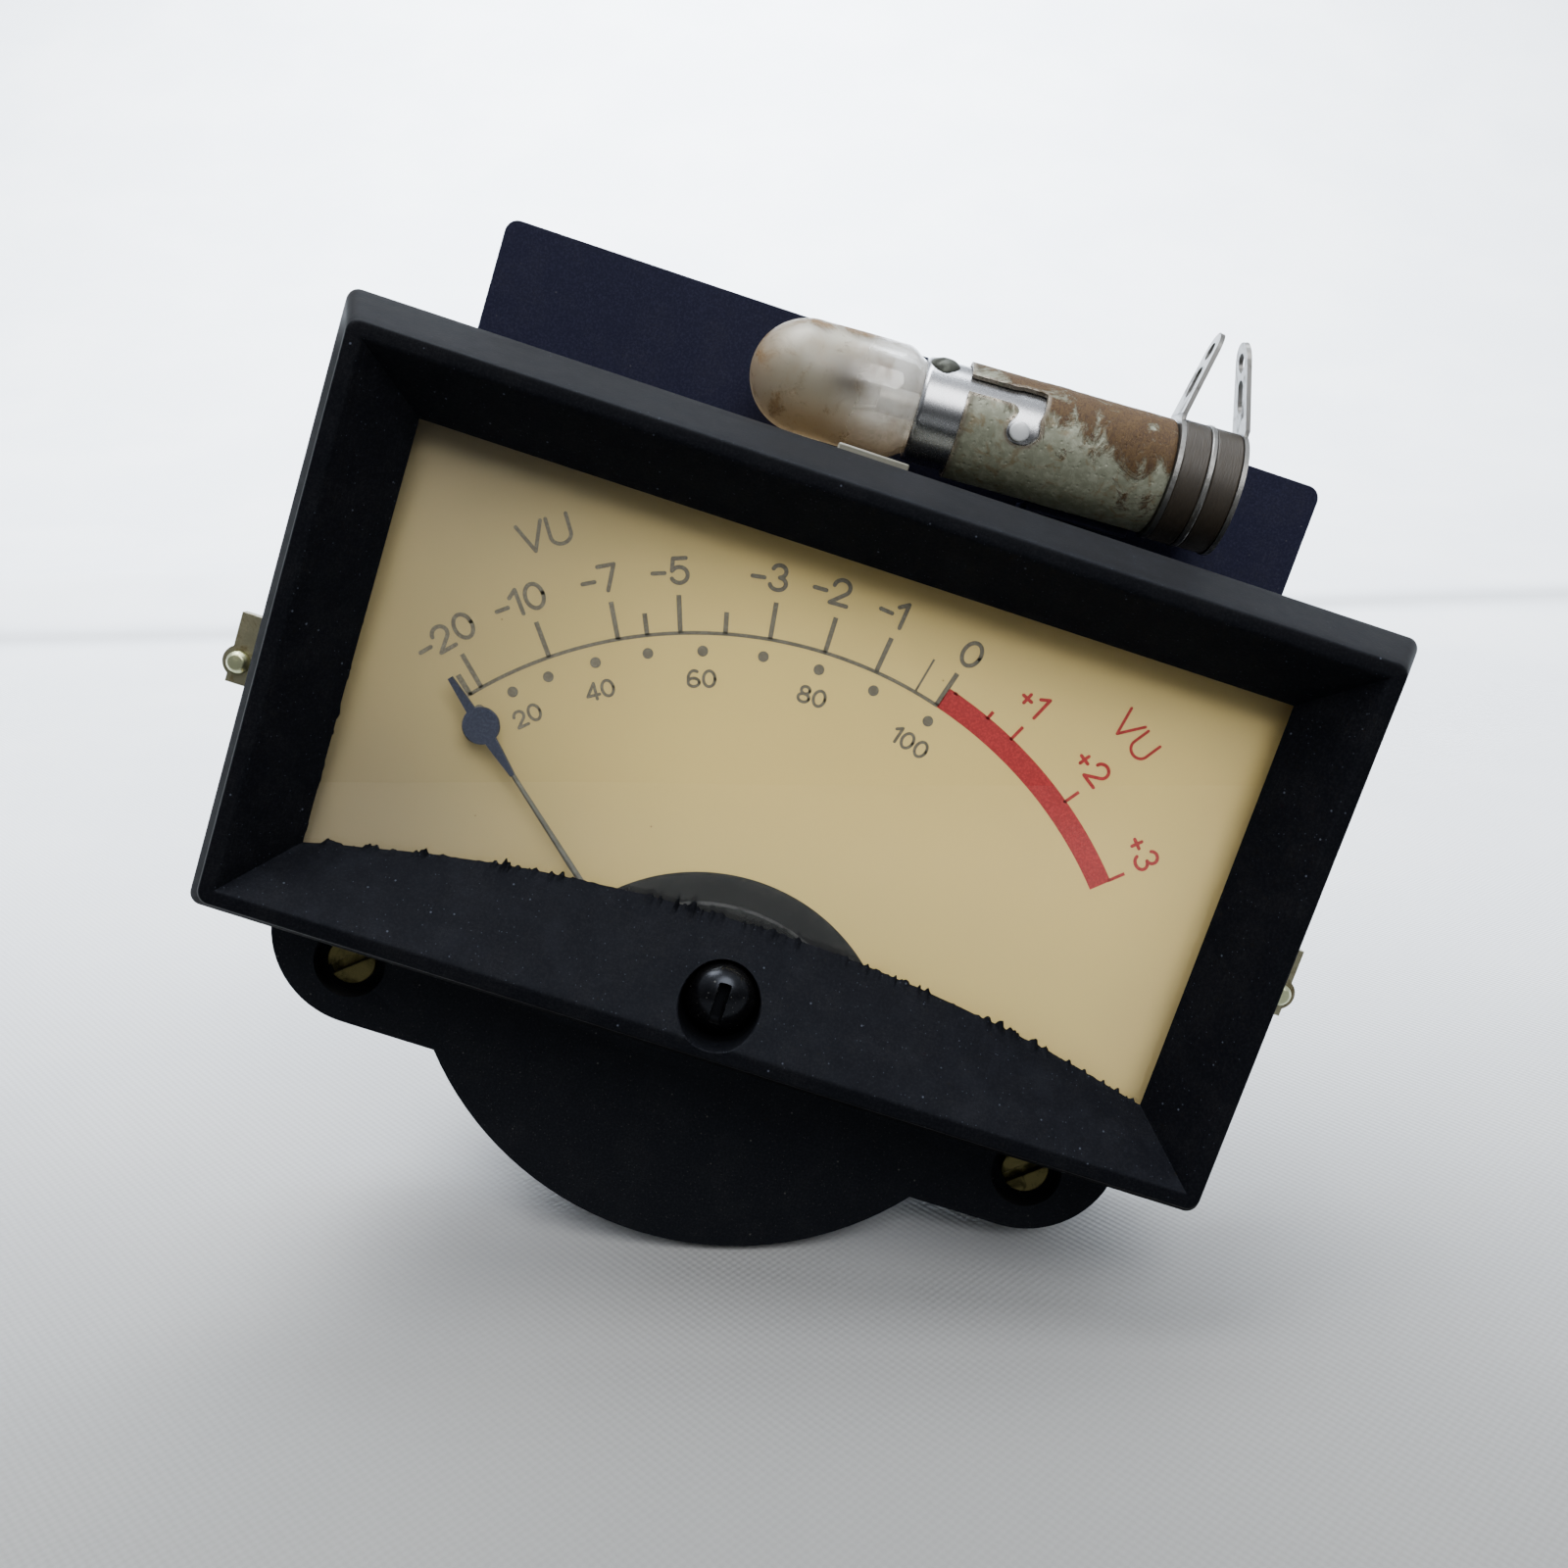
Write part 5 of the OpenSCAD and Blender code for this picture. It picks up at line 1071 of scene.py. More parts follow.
def strokes(sign):
    """Pen strokes of a character in a cell of height 1, and the width it takes up."""
    low_bowl = bow(0.39, 0.28, 0.32, 0.24, 0, 360, 32)
    drawn = {
        "0": ([bow(0.39, 0.5, 0.335, 0.455, 0, 360, 36)], 0.93),
        "1": ([[(0.0, 0.74), (0.3, 0.96)], [(0.3, 0.96), (0.3, 0.04)]], 0.52),
        "2": ([bow(0.37, 0.68, 0.3, 0.275, 175, -42), [(0.593, 0.495), (0.06, 0.05)],
               [(0.06, 0.05), (0.7, 0.05)]], 0.9),
        "3": ([bow(0.35, 0.73, 0.25, 0.225, 160, -80), bow(0.35, 0.28, 0.3, 0.235, 80, -165)], 0.86),
        "4": ([[(0.55, 0.03), (0.55, 0.96)], [(0.55, 0.96), (0.04, 0.27)],
               [(0.04, 0.27), (0.75, 0.27)]], 0.9),
        "5": ([[(0.64, 0.95), (0.17, 0.95)], [(0.17, 0.95), (0.11, 0.52)],
               bow(0.37, 0.34, 0.31, 0.29, 147, -155)], 0.86),
        "6": ([low_bowl, bow(0.42, 0.5, 0.35, 0.455, 62, 195)], 0.9),
        "7": ([[(0.04, 0.95), (0.66, 0.95)], [(0.66, 0.95), (0.27, 0.04)]], 0.8),
        "8": ([low_bowl, bow(0.39, 0.74, 0.25, 0.215, 0, 360, 28)], 0.9),
        "-": ([[(0.0, 0.43), (0.45, 0.43)]], 0.62),
        "+": ([[(0.0, 0.42), (0.42, 0.42)], [(0.21, 0.21), (0.21, 0.63)]], 0.62),
        "V": ([[(0.0, 0.97), (0.42, 0.05)], [(0.42, 0.05), (0.84, 0.97)]], 0.98),
        "U": ([[(0.04, 0.97), (0.04, 0.36)], bow(0.39, 0.36, 0.35, 0.31, 180, 360),
               [(0.74, 0.36), (0.74, 0.97)]], 0.8),
    }
    return drawn[sign]


def word(text, height, r, angle, y, t, pivot_z, pen=0.35):
    """Printed characters, centred on a ray with their tops outwards. Each stroke is a ribbon half a pen wide
    to each side of its points, with round ends; later strokes stand a hair further out: none coincide."""
    parts, x0, level = [], 0.0, 0
    total = sum(strokes(sign)[1] for sign in text[:-1]) + strokes(text[-1])[1] - 0.12
    for sign in text:
        lines, advance = strokes(sign)
        for line in lines:
            line = (np.asarray(line, float) + [x0 - total / 2, -0.5]) * height
            slope = np.gradient(line, axis=0) if len(line) > 2 else np.diff(line, axis=0).repeat(2, axis=0)
            along = unit(slope)
            side = np.stack([-along[:, 1], along[:, 0]], -1) * pen / 2
            half_turn = np.linspace(0, math.pi, 7)[1:-1, None]
            tip = line[-1] + np.cos(half_turn) * side[-1] + np.sin(half_turn) * along[-1] * pen / 2
            tail = line[0] - np.cos(half_turn) * side[0] - np.sin(half_turn) * along[0] * pen / 2
            edge = np.concatenate([line + side, tip, (line - side)[::-1], tail])
            ring = len(edge)
            x, z = at_angle(edge[:, 0], edge[:, 1] + r, math.radians(angle), pivot_z)
            front = np.stack([x, np.full(ring, y - t - 0.0015 * level), z], -1)
            count = len(line)
            inside = [[i, i + 1, 2 * count + 3 - i, 2 * count + 4 - i] for i in range(count - 1)]
            ends = [list(range(count - 1, count + 6)), [*range(2 * count + 4, ring), 0]]
            top = inside + ends
            back = [[i + ring for i in face[::-1]] for face in top]
            wall = [[i, (i + 1) % ring, (i + 1) % ring + ring, i + ring] for i in range(ring)]
            parts.append((np.concatenate([front, front * [1, 0, 1] + [0, y, 0]]), top + back + wall))
            level += 1
        x0 += advance
    return joined(parts)


def build_dial():
    """Dial: the printed scale as slabs on the cream plate: one arc, a red band, ticks, dots and numbers."""
    s = sizes()
    finish_nodes(FINISH["dial"], "dial")
    y, t, pz = low("dial", 1), s.print_thickness, -s.pivot_drop
    r = s.scale_radius
    black = [arc_band(r, s.line, -48.7, 15.4, y, t, pz), mark(r - 0.1, 38.2, 0.46, -48.55, y, t, pz)]
    for angle, top in [(-46.8, 39.5), (-37.05, 39.4), (-27.8, 39.45), (-24.0, 38.15), (-19.7, 39.44),
                       (-13.9, 38.13), (-8.1, 39.4), (-0.8, 39.35), (6.25, 39.4)]:
        black.append(mark(r, top, s.line * 1.3, angle, y, t, pz))
    black.append(mark(r, 39.45, s.line * 0.6, 11.95, y, t, pz))
    black.append(mark(r, 39.45, s.line * 1.35, 15.2, y, t, pz))
    for angle in (-48.6, -43.4, -38.1, -31.4, -24.2, -16.8, -8.6, -0.9, 7.0, 15.5):
        black.append(dot(34.87, 0.45, angle, y, t, pz))
    for text, angle in [("20", -43.0), ("40", -31.7), ("60", -16.9), ("80", -0.7), ("100", 15.2)]:
        black.append(word(text, s.number_height, 32.6, angle, y, t, pz, 0.26))
    for text, angle in [("-20", -47.3), ("-10", -37.9), ("-7", -28.6), ("-5", -20.5), ("-3", -9.2),
                        ("-2", -2.0), ("-1", 5.3), ("0", 15.4)]:
        black.append(word(text, s.label_height, 41.4, angle, y, t, pz))
    black.append(word("VU", 2.45, 45.9, -33.2, y, t, pz, 0.32))
    piece("scale_print", *joined(black), FINISH["ink"], slot="dial_cream")
    red = [arc_band(37.17, 1.86, 15.4, 47.85, y, t, pz)]
    for angle, r1, width in [(16.45, 38.15, 0.3), (21.5, 38.7, 0.3), (25.45, 39.4, 0.28), (36.0, 39.4, 0.28),
                             (47.7, 39.4, 0.28)]:
        red.append(mark(37.9, r1, width, angle, y, t, pz))
    for text, angle in [("+1", 24.4), ("+2", 34.7), ("+3", 46.4)]:
        red.append(word(text, s.label_height * 0.96, 41.5, angle, y, t, pz, 0.29))
    red.append(word("VU", 2.35, 45.8, 34.4, y, t, pz, 0.25))
    piece("overload_print", *joined(red), FINISH["red"], slot="dial_cream")


def build_pointer():
    """Pointer: a folded stem of tapering width on a crank, and a flat tip with its disc slipped over the end.
    They are drawn upright and then turned to the resting angle about the pivot."""
    s = sizes()
    rest = math.radians(-49)
    pivot_z = -s.pivot_drop
    y = low("pointer", 1) + 0.15

    def place(points):
        """Upright points turned to the resting angle."""
        x, z = at_angle(points[:, 0], points[:, 2], rest, pivot_z)
        return np.stack([x, points[:, 1], z], -1)
    # stem: an arched strip, so that its middle catches the light
    out = np.concatenate([np.linspace(10.45, 11.2, 4), np.linspace(11.8, s.pointer_length - 9.4, 60)])
    half = np.interp(out, [10.45, s.pointer_length - 9.4], [0.34, 0.2])
    section = np.array([[-1, 0.12], [-0.62, -0.05], [-0.28, -0.13], [0, -0.15], [0.28, -0.13],
                        [0.62, -0.05], [1, 0.12], [0.5, 0.15], [0, 0.15], [-0.5, 0.15]])
    path = np.stack([0 * out, 0 * out + y, out], -1)
    across = np.tile([1.0, 0.0, 0.0], (len(out), 1))
    up = np.tile([0.0, 1.0, 0.0], (len(out), 1))
    stem = swept(section, path, across, up, half)
    hub_back = high("pointer", 1)
    post = box_points(-0.33, 0.33, y - 0.1, hub_back, 10.45, 10.75)
    foot = box_points(-0.33, 0.33, hub_back - 0.4, hub_back, 1.3, 10.7)
    points, faces = joined([stem, post, foot])
    piece("pointer_stem", place(points), faces, FINISH["stem"], "moving_coil", "pointer_aluminium",
          ("pointer",))
    # tip: outline of half widths along the ray, closed over the disc
    disc = s.pointer_length - 4.6
    neck = s.pointer_length - 9.4
    r = s.pointer_disc
    across_disc = disc - r * np.cos(np.linspace(0, math.pi, 40))[1:-1]
    out = np.concatenate([np.linspace(neck, disc - r, 24), across_disc,
                          np.linspace(disc + r, s.pointer_length, 10)])
    bar = np.interp(out, [neck, disc - 2.6, disc - 1.2, disc, s.pointer_length],
                    [0.2, 0.42, 0.52, 0.48, 0.22])
    round_part = np.sqrt(np.maximum(r * r - (out - disc) ** 2, 0))
    half = np.maximum(bar, round_part)
    v = np.array([-1, -0.93, -0.5, 0, 0.5, 0.93, 1])
    grid = np.stack(np.broadcast_arrays(half[:, None] * v, y, out[:, None] + 0 * v), -1)
    drop = np.where(np.abs(v) > 0.96, 0.1, 0.0)[None, :]
    front, back = grid.copy(), grid.copy()
    front[..., 1] += -0.2 + drop
    back[..., 1] += 0.18
    points, faces = thickened(front.reshape(-1, 3), back.reshape(-1, 3), cells(len(out), len(v)))
    piece("pointer_disc_tip", place(points), faces, FINISH["tip"], "moving_coil", "tip_dark",
          ("pointer_tip",))


def box_points(x0, x1, y0, y1, z0, z1):
    """Corners and faces of a box."""
    x, y, z = np.meshgrid([x0, x1], [y0, y1], [z0, z1], indexing="ij")
    points = np.stack([x, y, z], -1).reshape(-1, 3)
    return points, [[0, 1, 3, 2], [4, 6, 7, 5], [0, 4, 5, 1], [2, 3, 7, 6], [0, 2, 6, 4], [1, 5, 7, 3]]


def build_adjuster():
    """Zero adjuster: a low dome y = top + r^2 / (2 R) with a slot of eased walls, on a grid of rings."""
    s = sizes()
    count = 144
    gap, ease, dome_height, slot_depth = 0.38, 0.3, 2.0, 1.6
    shank, shank_end, pin_r, pin_start, pin_offset = 1.5, -6.05, 0.45, -6.2, 1.3
    head = s.recess - gap
    top, tail = low("zero_screw", 1), high("zero_screw", 1)
    floor = s.bezel_front + 4.95
    eased_edge = head - ease + ease * np.sin(np.linspace(0, math.pi / 2, 7)[1:])
    ring = np.concatenate([np.linspace(0, head - ease, 26), eased_edge])
    angle = np.arange(count) / count * TAU
    r, a = np.meshgrid(ring, angle, indexing="ij")
    x, z = r * np.cos(a), r * np.sin(a)
    dome = top + 0.02 + (dome_height - 0.02) * (1 - np.sqrt(np.maximum(1 - (r / head) ** 2 * 0.999, 0)))
    slot = blend01(-np.abs(x), -0.5, -0.36) * blend01(-np.abs(z), -1.75, -1.5)
    y = dome + slot * np.maximum(top + slot_depth - dome, 0)
    cap = np.stack([x, y, z - s.zero_drop], -1).reshape(-1, 3)
    skirt, faces = turned([[head, top + dome_height], [head, floor], [shank, floor], [shank, shank_end],
                           [0, shank_end]], count)
    pin_profile = rounded_profile([[0, pin_start], [pin_r, pin_start], [pin_r, tail], [0, tail]], 0.08, 3)
    pin, pin_faces = turned(pin_profile, 20)
    parts = [(cap, cells(len(ring), count, wrap_columns=True)), (along_y(skirt, 0, -s.zero_drop), faces),
             (along_y(pin, 0, -s.zero_drop + pin_offset), pin_faces)]
    points, faces = joined(parts)
    # painted shade in the slot, carried as a point attribute
    painted_shade = np.concatenate([slot.ravel(), np.zeros(len(points) - slot.size)])
    piece("zero_adjuster", points, faces, FINISH["gloss"], "zero_screw", "gloss_black", ("zero_screw",),
          angle=40, paint=("painted_shade", painted_shade))


def build_front():
    """Front case, cap, pane and light window."""
    finish_nodes(FINISH["pane"], "window")
    softened("front_case", FINISH["case"], 0.22)
    softened("movement_cap", FINISH["cap"], 0.12)
    softened("light_window", FINISH["milky"], 0.15)
    softened("zero_washer", FINISH["steel"], 0.05)


def build_plate():
    """Back plate, pillars, ear screws and nuts."""
    softened("back_plate", FINISH["navy"], 0.18)
    softened("pillars", FINISH["brass"], 0.15)
    softened("ear_screws", FINISH["aged"], 0.1)
    softened("ear_nuts", FINISH["aged"], 0.12)


def build_movement():
    """Movement inside the rear case."""
    for node, finish, width in [
            ("pointer_hub", "alloy", 0.06), ("balance_weights", "brass", 0.06),
            ("coil_former", "alloy", 0.04), ("coil_winding", "copper", 0.15),
            ("core_magnet", "magnet", 0.2), ("core_supports", "brass", 0.08),
            ("yoke_ring", "iron", 0.2), ("front_bridge", "alloy", 0.1),
            ("rear_bridge", "alloy", 0.1), ("bridge_screws", "brass", 0.06),
            ("movement_carrier", "iron", 0.1), ("carrier_screws", "brass", 0.08),
            ("zero_arm", "bronze", 0.04), ("rectifier", "rectifier", 0.12)]:
        softened(node, FINISH[finish], width)
    finish_nodes(FINISH["steel"], "pivot_staffs")
    finish_nodes(FINISH["bronze"], "hairspring_front", "hairspring_rear")
    finish_nodes(FINISH["brass"], "jewel_screws")
    finish_nodes(FINISH["wire"], "lead_wires")


def build_rear():
    """Round rear case with its screws and terminals."""
    softened("rear_case", FINISH["rear"], 0.25)
    softened("case_screws", FINISH["steel"], 0.08)
    for node, finish in [("terminal_studs", "brass"), ("terminal_washers", "tinned"),
                         ("terminal_nuts", "brass"), ("solder_tags", "tinned")]:
        softened(node, FINISH[finish], 0.08)


def build_clamps():
    """Side clamps with their rivets and screws."""
    softened("clamp_brackets", FINISH["clamp"], 0.15)
    softened("clamp_rivets", FINISH["alloy"], 0.05)
    softened("clamp_screws", FINISH["clamp_end"], 0.08)


def build_lamp():
    """Lamp: blown glass turned from an eased profile with an inner wall, a film of grime just outside it, and
    a rolled metal base with two bayonet pins and a blob of solder."""
    s = sizes()
    r, neck, tip, wall = s.bulb_radius, -9.0, -23.5, 0.45
    turn = np.linspace(0, math.pi / 2, 22)
    nose = np.stack([(r - 0.05) * np.sin(turn), tip + r - r * np.cos(turn)], -1)
    body = rounded_profile([[r - 0.05, tip + r + 0.2], [r, -14.0], [r, neck - 1.5], [r - 0.85, neck - 0.35],
                            [3.6, neck + 0.7], [3.6, neck + 2.6]], 0.8, 7)
    outer = np.concatenate([nose, body[1:]])
    inner = outer[::-1].copy()
    inner[:, 0] = np.maximum(inner[:, 0] - wall, 0)
    nearer = tip + r - (tip + r - inner[:, 1]) * (r - wall) / r
    inner[:, 1] = np.where(inner[:, 1] < tip + r, nearer, inner[:, 1])
    inner[0, 1] = outer[-1, 1]
    around, film_out, film_in = 128, 0.035, 0.012

    def blown(shape):
        """The outline turned about the lamp's axis, its radius changed by 0.05 mm of noise past the neck."""
        points, faces = turned(shape, around)
        dent = 0.05 * lumps(points, 4.0, 11, 2) * blend01(-points[:, 0], 11.2, 13.0)
        points[:, 1:] *= 1 + dent[:, None] / r
        return on_lamp_axis(points), faces
    piece("bulb_glass", *blown(np.concatenate([outer, inner])), FINISH["bulb"], "lamp", "lamp_glass",
          ("lamp_bulb",), angle=60)
    film = outer[outer[:, 1] < neck - 0.4].copy()

    def off_glass(by):
        """The film's outline moved off the glass: outwards, and past the tip near the axis."""
        return film + np.array([by, 0]) * (film[:, :1] > 0) + np.array([0, -by]) * (film[:, :1] < 1)
    grime = np.concatenate([off_glass(film_out), off_glass(film_in)[::-1]])
    piece("bulb_grime", *blown(grime), FINISH["film"], "lamp", "lamp_glass", angle=60, weld=0.0005)

    b, x0, x1 = s.base_radius, -9.1, 3.0
    profile = rounded_profile([[b - 0.6, x0 + 0.25], [b - 0.3, x0 - 0.1], [b, x0 + 0.25], [b, x1 - 0.6],
                               [b - 0.5, x1], [b - 0.9, x1], [b - 0.45, x1 - 0.8]], 0.22, 5, closed=True)
    points, faces = turned(profile, around)
    pin_profile = rounded_profile([[0, b - 0.3], [0.83, b - 0.3], [0.83, b + 0.9], [0, b + 0.95]], 0.22, 4)
    pin, pin_faces = turned(pin_profile, 32)
    pins = joined([(np.stack([pin[:, 1] + PIN_X, side * pin[:, 0], pin[:, 2]], -1), pin_faces)
                   for side in (-1, 1)])
    # solder run over the rolled edge
    u, v = np.meshgrid(np.linspace(0, math.pi, 14), np.arange(28) / 28 * TAU, indexing="ij")
    ball = np.stack([1.2 * np.cos(u), 1.25 * np.sin(u) * np.cos(v), 0.6 * np.sin(u) * np.sin(v)], -1)
    ball = ball.reshape(-1, 3)
    ball *= 1 + 0.16 * lumps(ball, 0.7, 17, 2)[:, None]
    ball[:, 2] -= 0.12 * ball[:, 1] ** 2
    ball += [x0 + 1.4, 0, b - 0.1]
    lean = math.radians(30)
    ball[:, 1], ball[:, 2] = (ball[:, 1] * math.cos(lean) - ball[:, 2] * math.sin(lean),
                              ball[:, 1] * math.sin(lean) + ball[:, 2] * math.cos(lean))
    piece("lamp_cap_metal", on_lamp_axis(points), faces, FINISH["nickel"], "lamp", "nickel_plate",
          ("lamp_base",))
    piece("lamp_pins", on_lamp_axis(pins[0]), pins[1], FINISH["pins"], "lamp", "nickel_plate")
    piece("lamp_solder", on_lamp_axis(ball), cells(14, 28, wrap_columns=True), FINISH["solder"], "lamp",
          "nickel_plate", angle=70)
    finish_nodes(FINISH["filament"], "lamp_filament")
    softened("lamp_insulator", FINISH["gloss"], 0.06)
    softened("lamp_contact", FINISH["tinned"], 0.05)


def build_socket():
    """Socket: a sheet wrapped round the lamp's axis, trimmed by the two hooked bayonet slots, crusted with
    rust and given its wall; then lugs, washers, ring, bush, plunger and bracket."""
    s = sizes()
    inner = s.base_radius + 0.1
    wall = 0.4
    outer = inner + wall
    mouth, end = -5.4, 12.6
    half, leg_half, far, soft = 1.05, 0.93, 0.93, 0.2
    up = math.radians(36) * outer
    bend = 0.45
    flat_run = np.linspace(mouth, end - bend, 128)
    u = np.concatenate([flat_run, end - bend + np.linspace(0, 1, 9)[1:] * (bend * math.pi / 2),
                        end - bend + bend * math.pi / 2 + np.linspace(0, outer - bend - 1.7, 10)[1:]])
    v = np.arange(240) / 240 * TAU * outer
    turn = TAU * outer

    def merged(a, b):
        """The lesser of two distances, lowered by (0.9 - |a - b|)^2 / 3.6 near a crease, to round it."""
        return np.minimum(a, b) - np.maximum(0.9 - np.abs(a - b), 0) ** 2 / 3.6

    def slots(a, b):
        """Positive inside either bayonet slot, at a along the axis and b round the shell."""
        found = None
        for shift in (0.0, turn / 2):
            w = turn / 2 - (b - shift + turn / 2) % turn
            # the straight leg, the leg round the shell, and the pocket that hooks back round the pin
            leg = box_distance(a, w, mouth - 9, far, up - leg_half, up + leg_half, soft)
            round_leg = box_distance(a, w, far - 2 * leg_half, far, 0, up + leg_half, soft)
            pocket = box_distance(a, w, PIN_X - half, far, -half, half, half - 0.01)
            each = np.minimum(merged(leg, np.maximum(round_leg, -0.9)), merged(round_leg, pocket))
            found = each if found is None else np.minimum(found, each)
        return -found

    fu, fv, faces = trimmed(u, v, slots, wrap_v=True)
    bend_start, bend_run = end - bend, bend * math.pi / 2
    turned_by = np.clip((fu - bend_start) / bend_run, 0, 1) * math.pi / 2
    past = np.maximum(fu - bend_start - bend_run, 0)

    def surface(depth):
        """The sheet at a depth under its outer face: straight, then bent inwards to the end wall."""
        x = np.minimum(fu, bend_start) + (bend - depth) * np.sin(turned_by)
        r = outer - bend + (bend - depth) * np.cos(turned_by) - past
        angle = fv / outer
        return np.stack([x, r * np.cos(angle), r * np.sin(angle)], -1)
    front, back = surface(0.0), surface(wall)
    crust = lumps(front, 2.6, 41, 4)
    rough = np.maximum(crust, 0) * (0.6 + 0.4 * lumps(front, 0.5, 43, 3))
    lift = 0.16 * rough - 0.03
    normal = unit(front - back)
    points, faces = thickened(front + normal * lift[:, None], back, faces)
    rim = np.maximum(blend01(slots(fu, fv), -0.42, -0.08), blend01(fu, mouth + 0.35, mouth + 0.05))
    piece("socket_shell_rusted", on_lamp_axis(points), faces, FINISH["socket"], slot="corroded_steel",
          stands_for=("socket_shell",), angle=50, paint=("rim", np.concatenate([rim, rim])))
    softened("shell_lug", FINISH["tinned"], 0.08)
    softened("contact_lug", FINISH["tinned"], 0.08)
    softened("fibre_washers", FINISH["fibre"], 0.15)
    softened("socket_ring", FINISH["tinned"], 0.1)
    softened("socket_bush", FINISH["fibre"], 0.1)
    softened("contact_plunger", FINISH["brass"], 0.06)
    finish_nodes(FINISH["steel"], "contact_spring")
    softened("lamp_bracket", FINISH["navy"], 0.1)
    softened("bracket_rivets", FINISH["alloy"], 0.05)


# ---------- stage ----------

RIGHT = np.array([0.9512, 0.0075, 0.3085])
DOWN = np.array([0.3051, -0.1718, -0.9367])
AHEAD = np.array([0.0459, 0.9851, -0.1657])
EYE = np.array([-6.11, -128.74, 19.33])
PITCH = math.radians(18.0)


def stage_frame():
    """The photograph's level: right, away from the camera and up as rows, with the lowest point's height."""
    up = -DOWN * math.cos(PITCH) - AHEAD * math.sin(PITCH)
    away = np.cross(up, RIGHT)
    lowest = 1e9
    for node in frame["nodes"].values():
        co = np.zeros(len(node.data.vertices) * 3)
        node.data.vertices.foreach_get("co", co)
        lowest = min(lowest, (co.reshape(-1, 3) @ up).min() / MM)
    return np.stack([RIGHT, away, up]), lowest


def build_stage():
    """Pale sheet: level under the meter, rising behind it by a smooth step, with soft folds. Its tone holds
    painted shadow towards the camera, under the meter and along the fold, and painted shade on the right side.
    A soft light from above, one for the sheet's back, a sky that darkens towards the camera, and the camera at
    the photograph's place."""
    axes, lowest = stage_frame()
    u = np.linspace(-2600, 2600, 261)
    v = np.concatenate([np.linspace(-1500, -400, 40), np.linspace(-390, 900, 200),
                        np.linspace(930, 2600, 30)])
    gu, gv = np.meshgrid(u, v, indexing="ij")
    flat = np.stack([gu, gv, 0 * gu], -1)
    away = np.hypot(gu, gv)
    ripple = 5.0 * lumps(flat, 420.0, 51, 2) * blend01(away, 120, 420)
    crease = np.exp(-((gv - 330 - 0.10 * gu) / 26.0) ** 2) * blend01(-gu, -60, 220) * 7.0
    height = lowest - 0.05 + 1500 * blend01(gv, 250, 2300) ** 1.25 + np.maximum(ripple, -2.0) + crease
    world = gu[..., None] * axes[0] + gv[..., None] * axes[1] + height[..., None] * axes[2]
    mesh = bpy.data.meshes.new("sheet")
    mesh.from_pydata((world.reshape(-1, 3) * MM).tolist(), [], cells(len(u), len(v)).tolist())
    mesh.shade_smooth()
    # painted shadow: the sheet darkens towards the camera
    near = blend01(gv, 110, -75)[..., None]
    tone = (1 - near) * np.array([0.80, 0.828, 0.87]) + near * np.array([0.225, 0.225, 0.217])
    # painted shadow under the meter and along the fold, and painted shade on the right side
    shadow_under_meter = 0.15 * np.exp(-((gu - 12) / 85) ** 2) * blend01(-gv, -70, 20)
    right_side_shade = 0.15 * blend01(gu, -50, 350)
    bend = gv - 285 - 16 * np.sin(gu / 170) - 0.05 * gu
    fold_shadow = 0.34 * np.exp(-(bend / 10) ** 2) + 0.03 * blend01(-bend, 0, 60) * blend01(gv, 40, 200)
    for shade in (shadow_under_meter, right_side_shade, fold_shadow):
        tone = tone * (1 - shade)[..., None]
    paint = mesh.color_attributes.new("tone", "FLOAT_COLOR", "POINT")
    paint.data.foreach_set("color", np.concatenate([tone, np.ones_like(near)], -1).astype(np.float32).ravel())
    mesh.materials.append(cloth_finish("pale_sheet"))
    sheet = bpy.data.objects.new("sheet", mesh)
    bpy.context.scene.collection.objects.link(sheet)

    camera = bpy.data.cameras.new("camera")
    camera.sensor_width = 36
    camera.lens = 34.68
    camera.clip_start, camera.clip_end = 0.005, 20
    holder = bpy.data.objects.new("camera", camera)
    turn = np.stack([RIGHT, -DOWN, -AHEAD], axis=1)
    matrix = Matrix([[*turn[i], EYE[i] * MM] for i in range(3)] + [[0, 0, 0, 1]])
    holder.matrix_world = matrix
    bpy.context.scene.collection.objects.link(holder)
    bpy.context.scene.camera = holder

    def lamp(name, place, target, size, power, tint=(1, 1, 1), spread=180):
        """A round area light at a place of the level frame, turned to its target."""
        light = bpy.data.lights.new(name, "AREA")
        light.shape = "DISK"
        light.size = size
        light.energy = power
        light.color = tint
        light.spread = math.radians(spread)
        made = bpy.data.objects.new(name, light)
        origin = np.array(place) @ axes * MM
        aim = np.array(target) @ axes * MM
        back = unit(origin - aim)
        side = unit(np.cross([0.0, 0.1, 1.0], back))
        up = np.cross(back, side)
        columns = np.stack([side, up, back], axis=1)
        made.matrix_world = Matrix([[*columns[i], origin[i]] for i in range(3)] + [[0, 0, 0, 1]])
        bpy.context.scene.collection.objects.link(made)
    lamp("window_light", (-240, -20, 800), (0, 0, 0), 0.4, 6.0, (1.0, 0.995, 0.98))
    lamp("front_light", (160, -520, 560), (0, 0, 10), 0.5, 5.9, (1.0, 0.99, 0.97))
    lamp("sheet_light", (0, 520, 980), (0, 900, 150), 0.9, 38, (0.905, 0.955, 1.0), 112)
    world_light = bpy.data.worlds.new("soft_sky")
    world_light.use_nodes = True
    g = Graph(world_light.node_tree)
    aim = unit(0.55 * axes[1] + 0.83 * axes[2])
    direction = g.add("TexCoord").outputs["Generated"]
    facing = g.add("VectorMath", {0: direction, 1: tuple(aim)}, operation="DOT_PRODUCT").outputs["Value"]
    sky = g.mix(g.ramp(facing, -0.35, 0.75), (0.035, 0.036, 0.04, 1), (1.15, 1.18, 1.22, 1))
    background = world_light.node_tree.nodes["Background"]
    g.feed(background.inputs[0], sky)
    background.inputs[1].default_value = 0.8
    bpy.context.scene.world = world_light


# ---------- operators, panel and start ----------


